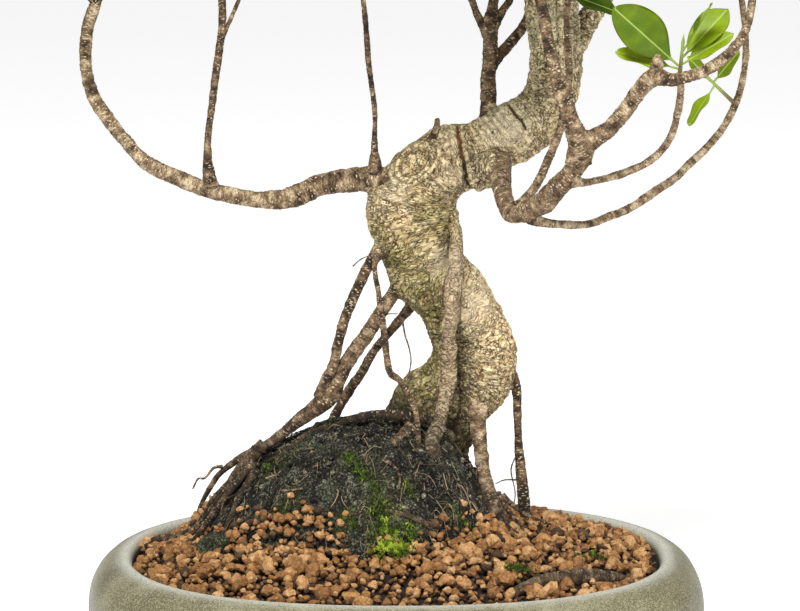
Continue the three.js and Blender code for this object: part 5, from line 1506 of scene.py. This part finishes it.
LEAF_LENGTH = 42
LEAF_WIDTH = 0.47
LEAF_FOLD = 0.22
LEAVES_A_SHOOT = 6
STALK_SHARE = 0.13
STALK_HALF_THICK = 0.6
BLADE_HALF_THICK = 0.19
RIB_SUNK = 0.16
RIB_RAISED = 0.42
LEAF_STOPS = ((0.12, (28, 58, 4)), (0.4, (76, 102, 4)), (0.75, (132, 158, 14)), (1, (172, 194, 50)))
LEAF_RIB = (170, 188, 96)
LEAF_UNDER = (142, 168, 70)
LEAF_STALK = (142, 160, 78)
SHOOT_WOOD = (112, 92, 62)
SIDE_LEAVES = 4
SIDE_LENGTHS = (17, 25)
MAIN_CLEARANCES = (6, 4)
SIDE_CLEARANCES = (3.2, 2.5)
WOOD_FROM = 335
LOW_LEAF_GRID = (26, 12)
LEAF_GRID = (10, 4)
SIDE_LEAF_GRID = (8, 4)
SHOOT_LENGTH = 34
SHOOT_RADIUS = 1.3
NUB_RADIUS = 1.5
NUB_RISE = 1
TOUCHING_GAP = 0.3
TWO_FIFTHS = math.radians(144)
CROWN_REACH = (213, 152)
CROWN_FLOOR = (395, -0.088)
SHOOTS = [
    ("trunk", 31, (-0.35, -0.1, 0.9), 0.9), ("trunk", 29, (-0.5, -0.7, 0.5), 1),
    ("trunk", 29.6, (0.6, 0.5, 0.5), 0.9),
    ("crown_upper_left", 3, (-0.9, -0.1, 0.4), 1), ("crown_upper_left", 2, (-0.2, 0.8, 0.5), 0.95),
    ("crown_upper_right", 2, (0.8, 0.3, 0.5), 1), ("crown_upper_right", 1.2, (0.3, -0.8, 0.5), 0.95),
    ("crown_left", 5, (-0.95, -0.2, 0.25), 1), ("crown_left", 4, (-0.4, 0.8, 0.4), 1),
    ("crown_left", 3.6, (-0.4, -0.8, 0.4), 1),
    ("crown_front", 4, (-0.4, -0.8, 0.35), 1), ("crown_front", 3, (0.7, -0.6, 0.4), 1),
    ("crown_front", 2.4, (-0.8, 0, 0.5), 1),
    ("crown_back", 3, (-0.3, 0.85, 0.35), 1), ("crown_back", 2, (0.8, 0.4, 0.4), 1),
    ("crown_right", 4, (0.9, -0.1, 0.4), 1), ("crown_right", 3, (0.4, -0.8, 0.35), 1),
    ("crown_right", 2.5, (0.3, 0.8, 0.45), 1),
    ("right_fork", 7, (0.6, 0.4, 0.7), 1),
    ("left_branch", 17, (0.1, -0.2, 1), 1), ("left_branch", 15.5, (0.6, 0.6, 0.4), 0.95),
    ("left_branch_fork", 2, (-0.6, -0.5, 0.6), 0.95),
    ("left_riser", 8, (-0.2, -0.3, 0.9), 1), ("left_riser_twig", 4, (0.5, 0.4, 0.7), 0.9),
    ("middle_riser", 6, (-0.3, -0.4, 0.85), 0.9),
    ("back_riser", 9, (0.3, 0.6, 0.7), 0.95), ("back_riser_left", 4, (-0.7, 0.3, 0.6), 0.95),
    ("back_riser_right", 6, (0.6, 0.5, 0.6), 1), ("back_riser_twig", 4, (-0.4, 0.7, 0.6), 0.9),
    ("front_left_arm", 7, (-0.4, -0.4, 0.8), 1), ("front_right_arm", 10, (0, 0.1, 1), 1),
    ("lower_right_twig", 13, (-0.2, 0.2, 1), 1), ("rising_twig", 9, (0.3, -0.2, 0.9), 0.95),
]

# The shoots that hang below the crown at the right. Each leaf is its foot's place on the shoot, its tip,
# the way that its upper face looks, its width against its length, and how young it is.
LOW_SHOOTS = [
    ("slender_twig", 8, (151, -52, 373), [
        (0.15, (113.5, -58, 394.5), (-0.35, -0.75, 0.6), 0.5, 0.3),
        (0.08, (115.5, -50, 370), (-0.1, -0.55, 0.8), 0.38, 0.8),
        (0.5, (176, -40, 392), (-0.3, -0.8, 0.5), 0.48, 0.6),
        (0.75, (166, -60, 397), (-0.9, 0.1, 0.3), 0.36, 0.3),
        (0.25, (178, -52, 380), (-0.3, -0.7, 0.7), 0.38, 0.6)]),
    ("front_left_arm", 5.2, (88, -50, 404), [
        (0.7, (116.6, -40, 390.3), (-0.1, -0.6, 0.8), 0.48, 0.05),
        (0.95, (104, -66, 418), (-0.4, -0.5, 0.7), 0.44, 0.1),
        (0.9, (96, -30, 424), (-0.3, 0.6, 0.7), 0.44, 0.2)]),
    ("lower_right_twig", 9.6, (172, 10, 348), [
        (0.8, (159.5, 2, 324), (-0.6, -0.3, 0.7), 0.42, 0.6),
        (0.95, (158, 4, 362), (-0.3, -0.6, 0.7), 0.42, 0.4),
        (0.9, (186, -4, 366), (0.2, -0.7, 0.7), 0.42, 0.4)]),
]


def unit(vector):
    return vector / np.linalg.norm(vector)


def seeded(state):
    """Draws from 0 to 1 by the rule state = state * 16807 mod 2147483647."""
    while True:
        state = state * 16807 % 2147483647
        yield state / 2147483647


def shoot_root(limb, place, along):
    """Where a shoot leaves a limb: its end, or the tip of the nub that stands out of its side."""
    row = min(int(place), len(LIMBS[limb]) - 2)
    start, end = np.array(LIMBS[limb][row:row + 2])
    *centre, radius = start + (end - start) * (place - row)
    cosine = abs(unit((end - start)[:3]) @ along)
    sine = math.sqrt(1 - cosine ** 2)
    if place == len(LIMBS[limb]) - 1:
        return np.array(centre), (TOUCHING_GAP + SHOOT_RADIUS * sine) / cosine
    return np.array(centre), (radius + NUB_RADIUS * cosine) / sine + NUB_RISE + TOUCHING_GAP


def on_shoot(line, part):
    row = 0 if part < 0.5 else 1
    return line[row] + (line[row + 1] - line[row]) * (part * 2 - row)


def shoot_line(start, along, length, rise):
    """A straight shoot's start and middle, and its tip, which is lifted by a share of the length."""
    return np.array([start, start + along * length / 2, start + along * length + (0, 0, rise * length)])


def leaf_towards(foot, along, up, length, width, droop, age):
    up = unit(up - along * (up @ along))
    return {"foot": foot, "along": along, "up": up, "aside": np.cross(along, up), "length": length,
            "width": width, "droop": droop, "age": age}


def leaf_samples(leaf):
    """Fifteen points that stand for a leaf when others are kept clear of it."""
    part = np.repeat([0.2, 0.4, 0.6, 0.8, 1], 3)[:, None]
    aside = np.tile([-0.7, 0, 0.7], 5)[:, None] * (part < 1)
    half = leaf["length"] * leaf["width"] / 2
    sink = LEAF_FOLD * half * np.abs(aside) - leaf["droop"] * leaf["length"] * part ** 2
    side = leaf["aside"] * half * aside
    return leaf["foot"] + leaf["along"] * leaf["length"] * part + side + leaf["up"] * sink


def is_clear(samples, others, clearance, wood_clearance):
    """True where the samples are inside the crown, off the other leaves and off the wood."""
    if (np.abs(samples[:, :2]) > CROWN_REACH).any() or samples[:, 2].max() > CROWN_TOP:
        return False
    if (samples[:, 2] < CROWN_FLOOR[0] + CROWN_FLOOR[1] * samples[:, 1]).any():
        return False
    if (np.linalg.norm(samples[:, None] - others, axis=2) < clearance).any():
        return False
    far = np.linalg.norm(samples[:, None] - wood_samples[:, :3], axis=2)
    return not (far < wood_samples[:, 3] + wood_clearance).any()


def fitted_leaf(line, along, part, azimuth, opening, length, droop, others, clearances, age):
    """The first of its tries that lies clear: shorter, more or less open, or turned round the shoot."""
    across = np.cross((0, 0, 1), along)
    across = np.array([1.0, 0, 0]) if np.linalg.norm(across) < 0.2 else across
    across = unit(across - along * (across @ along))
    over = np.cross(along, across)
    for shrink in (1, 0.8):
        for open_more in (0, -16, 14):
            spread_angle = opening + math.radians(open_more)
            for turn in (0, 1, -1, 2, -2, 3, -3, 4, -4):
                around = azimuth + math.radians(24 * turn)
                way = (along * math.cos(spread_angle) + across * math.sin(spread_angle) * math.cos(around)
                       + over * math.sin(spread_angle) * math.sin(around))
                leaf = leaf_towards(on_shoot(line, part), way, np.array([0, 0, 1]) + 0.35 * along,
                                    length * shrink, LEAF_WIDTH, droop, age)
                if is_clear(leaf_samples(leaf), others, *clearances):
                    return leaf
    return None


def planned_shoots():
    """Every main shoot with its line and leaves, where no leaf touches another or the wood."""
    draw = seeded(20261)
    sprays = []
    for limb, place, goal, leaves in LOW_SHOOTS:
        centre = shoot_root(limb, place, np.array([0, 0.6, 0.8]))[0]
        along = unit(goal - centre)
        root = shoot_root(limb, place, along)[1]
        line = np.array([centre + along * root, (centre + along * root + goal) / 2, goal])
        made = []
        for part, tip, face, width, age in leaves:
            reach = tip - on_shoot(line, part)
            made.append(leaf_towards(on_shoot(line, part), unit(reach), np.array(face),
                                     np.linalg.norm(reach), width, 0, age))
        sprays.append({"root": centre, "line": line, "along": along, "leaves": made, "low": True})
    for limb, place, way, size in SHOOTS:
        along = unit(np.array(way))
        centre, root = shoot_root(limb, place, along)
        start = centre + along * root
        line = shoot_line(start, along, SHOOT_LENGTH * size, 0.12)
        sprays.append({"root": centre, "line": line, "along": along, "leaves": [], "size": size,
                       "low": False})
    for spray in sprays:
        stem = [on_shoot(spray["line"], part) for part in (0, 0.2, 0.4, 0.6, 0.8, 1)]
        spray["samples"] = np.vstack([stem, *map(leaf_samples, spray["leaves"])])
    for spray in sprays:
        if spray["low"]:
            continue
        others = np.vstack([other["samples"] for other in sprays if other is not spray])
        first = next(draw) * 2 * math.pi
        for number in range(LEAVES_A_SHOOT):
            part = 0.3 + 0.65 * number / (LEAVES_A_SHOOT - 1)
            opening = math.radians(12 if number == LEAVES_A_SHOOT - 1 else 68 - 30 * part)
            length = LEAF_LENGTH * spray["size"] * (0.85 + 0.3 * next(draw))
            droop = 0.06 + 0.14 * next(draw)
            leaf = fitted_leaf(spray["line"], spray["along"], part, first + number * TWO_FIFTHS, opening,
                               length, droop, others, MAIN_CLEARANCES, max(0, 0.9 * part - 0.35))
            if leaf:
                spray["leaves"].append(leaf)
        spray["samples"] = np.vstack([spray["samples"], *map(leaf_samples, spray["leaves"])])
    return sprays


def add_side_shoots(sprays, rng):
    """Younger side shoots with smaller leaves, in the room that the main ones leave: each starts on a
    main shoot or on the stretch of wood behind it."""
    for spray in sprays:
        if spray["low"]:
            continue
        for part in (0.12, 0.4, 0.68):
            across = unit(np.cross(spray["along"], unit(rng.normal(size=3))))
            along = unit(0.55 * spray["along"] + across + (0, 0, 0.3))
            start = on_shoot(spray["line"], part)
            line = shoot_line(start, along, rng.uniform(*SIDE_LENGTHS), 0.1)
            others = np.vstack([other["samples"] for other in sprays])
            others = others[np.linalg.norm(others - start, axis=1) > 9]
            made = []
            first = rng.uniform(0, 2 * math.pi)
            for leaf_number in range(SIDE_LEAVES):
                leaf_part = 0.45 + 0.5 * leaf_number / (SIDE_LEAVES - 1)
                opening = math.radians(15 if leaf_number == SIDE_LEAVES - 1 else 62 - 28 * leaf_part)
                leaf = fitted_leaf(line, along, leaf_part, first + leaf_number * TWO_FIFTHS, opening,
                                   rng.uniform(26, 36), rng.uniform(0.05, 0.2), others, SIDE_CLEARANCES,
                                   rng.uniform(0.2, 0.8))
                if leaf:
                    made.append(leaf)
            if len(made) > 1 and is_clear(line[1:], others, 2.5, 1.5):
                spray["side_lines"].append(line)
                spray["side_leaves"] += made
                spray["samples"] = np.vstack([spray["samples"], line, *map(leaf_samples, made)])


def blades(leaves, rows, across, rng):
    """Closed blades on stalks. A point is foot + along * L t + aside * h a + up * z, where t runs from 0 at
    the foot to 1 at the tip and a across it. The half width h is L w / 2 * sin(pi u ** 1.15) ** 0.75, with
    u = 0 at the stalk's end. The height z is LEAF_FOLD h |a|, less the droop L t t, with a wave at the
    edge. Round the blade a goes out and back, and half the thickness is added above and taken off below."""
    part = np.linspace(0, 1, rows + 2)[1:-1]
    out = np.linspace(-1, 1, across + 1)
    aside = np.concatenate([out, out[-2:0:-1]])
    face = np.concatenate([np.ones(across + 1), -np.ones(across - 1)])
    column = lambda key: np.array([leaf[key] for leaf in leaves], float).reshape(len(leaves), 1, 1, -1)
    length, width, droop = column("length"), column("width"), column("droop")
    phase = rng.uniform(0, 6.28, (len(leaves), 1, 1, 1))
    t = part[None, :, None, None]
    a = aside[None, None, :, None]
    f = face[None, None, :, None]
    u = np.clip((t - STALK_SHARE) / (1 - STALK_SHARE), 0, 1)
    half = np.maximum(length * width / 2 * np.sin(np.pi * u ** 1.15) ** 0.75, 0.65)
    on_blade = np.clip(u / 0.06, 0, 1)
    rib = bell(a * half, 0.9) * (1 - 0.8 * t)
    thick = (STALK_HALF_THICK + on_blade * (BLADE_HALF_THICK - STALK_HALF_THICK)) * np.sqrt(1 - 0.97 * a ** 2)
    thick = thick + on_blade * rib * np.where(f > 0, -RIB_SUNK, RIB_RAISED)
    wave = on_blade * 0.028 * length * a ** 2 * np.sin(12 * t + phase + 1.3 * np.sign(a))
    rise = LEAF_FOLD * half * np.abs(a) * on_blade - droop * length * t ** 2 + wave + thick * f
    side = column("aside") * half * a
    points = column("foot") + column("along") * length * t + side + column("up") * rise
    ends = [column("foot")[:, 0, 0], (column("foot") + column("along") * length
                                      - column("up") * droop * length)[:, 0, 0]]
    shape = (len(leaves), rows * len(aside))
    every = np.concatenate([points.reshape(*shape, 3), *(end[:, None] for end in ends)], axis=1)
    chance = rng.uniform(0, 1, (len(leaves), 1, 1, 1))
    grain = np.concatenate([(half * a + 0 * chance).reshape(*shape, 1),
                            (length * t + 0 * a).reshape(*shape, 1),
                            (40 * chance + 0 * t * a).reshape(*shape, 1)], axis=2)
    grain = np.concatenate([grain, grain[:, :1], grain[:, -1:]], axis=1)
    under = np.concatenate([np.broadcast_to(f < 0, points[..., :1].shape).reshape(shape).astype(float),
                            np.zeros((len(leaves), 2))], axis=1)
    age = np.repeat(column("age").reshape(-1, 1), every.shape[1], axis=1)
    stalk = np.broadcast_to(1 - on_blade, (len(leaves), rows, len(aside), 1)).reshape(shape)
    stalk = np.concatenate([stalk, np.ones((len(leaves), 1)), np.zeros((len(leaves), 1))], axis=1)
    offsets = np.arange(len(leaves))[:, None, None] * every.shape[1]
    faces = [(part_faces + offsets).reshape(-1, part_faces.shape[1])
             for part_faces in ring_faces(rows, len(aside))]
    marks = {"blade": grain.reshape(-1, 3), "under": under.ravel(), "age": age.ravel(),
             "stalk": stalk.ravel()}
    return every.reshape(-1, 3), faces, marks


def shoot_stem(points, radius, bud):
    """A green shoot along its points, which narrows to 0.6 of its radius, and the bud that ends it."""
    taper = radius * np.linspace(1, 0.62, len(points))
    tip = unit(points[-1] - points[-2])
    ends = [np.append(points[-1] + tip * bud * share, radius * wide)
            for share, wide in ((0.12, 0.85), (0.5, 0.6), (1, 0.08))]
    line = smooth_line(np.vstack([np.column_stack([points, taper]), ends]), 2.2)[0]
    stem, faces = tube(line, 8)
    blank = np.zeros(len(stem))
    way = np.concatenate([np.repeat(np.linspace(0, 1, len(line)), 8), [0, 1]])
    return stem, faces, {"blade": stem, "under": blank, "age": way, "stalk": blank + 2 - way}


def leaf_finish():
    material, shader = new_finish("fig_leaf", {"Roughness": 0.45, "Specular IOR Level": 0.2,
                                               "Subsurface Weight": 0.12, "Subsurface Scale": 0.002})
    blade = mark_of(material, "blade", "Vector")
    across = figured("ABSOLUTE", add_node("ShaderNodeSeparateXYZ", {0: blade}).outputs[0])
    age = mark_of(material, "age")
    patch = grain_of(blade, 9, 3)
    colour = ramp(scaled(patch, 0.35, times(age, 0.75)), *LEAF_STOPS)
    rib = spread(across, 0.6, 0.2)
    under = spread(mark_of(material, "under"), 0.02, 0.3)
    stalk = mark_of(material, "stalk")
    colour = layered(colour, (times(rib, 0.6), LEAF_RIB),
                     (times(under, 0.6), LEAF_UNDER), (times(stalk, 0.8), LEAF_STALK),
                     (spread(stalk, 1.35, 1.9), SHOOT_WOOD))
    material.node_tree.links.new(colour, shader.inputs["Base Color"])
    return material


CROWN_TOP = cad_box[1][2] / MM
wood_rows = [np.array(rows, float) for rows in LIMBS.values()]
wood_samples = np.vstack([rows[:-1] + (rows[1:] - rows[:-1]) * share
                          for rows in wood_rows for share in (0, 0.25, 0.5, 0.75)])
wood_samples = wood_samples[wood_samples[:, 2] > WOOD_FROM]
sprays = planned_shoots()
rng = np.random.default_rng(61)
for spray in sprays:
    spray["side_lines"] = []
    spray["side_leaves"] = []
add_side_shoots(sprays, rng)
leaf_skin = leaf_finish()
for number, spray in enumerate(sprays, 1):
    made = [blades(spray["leaves"], *(LOW_LEAF_GRID if spray["low"] else LEAF_GRID), rng)]
    if spray["side_leaves"]:
        made.append(blades(spray["side_leaves"], *SIDE_LEAF_GRID, rng))
    made.append(shoot_stem(np.vstack([spray["root"], spray["line"]]), SHOOT_RADIUS, 7))
    made += [shoot_stem(line, 0.85, 5) for line in spray["side_lines"]]
    points, faces, marks = joined_with_marks(made)
    leafy = make_piece(f"leafy_shoot_{number:02d}", points, faces, leaf_skin, **marks)
    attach(leafy, "root")
    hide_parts(f"leaf_spray_{number:02d}")
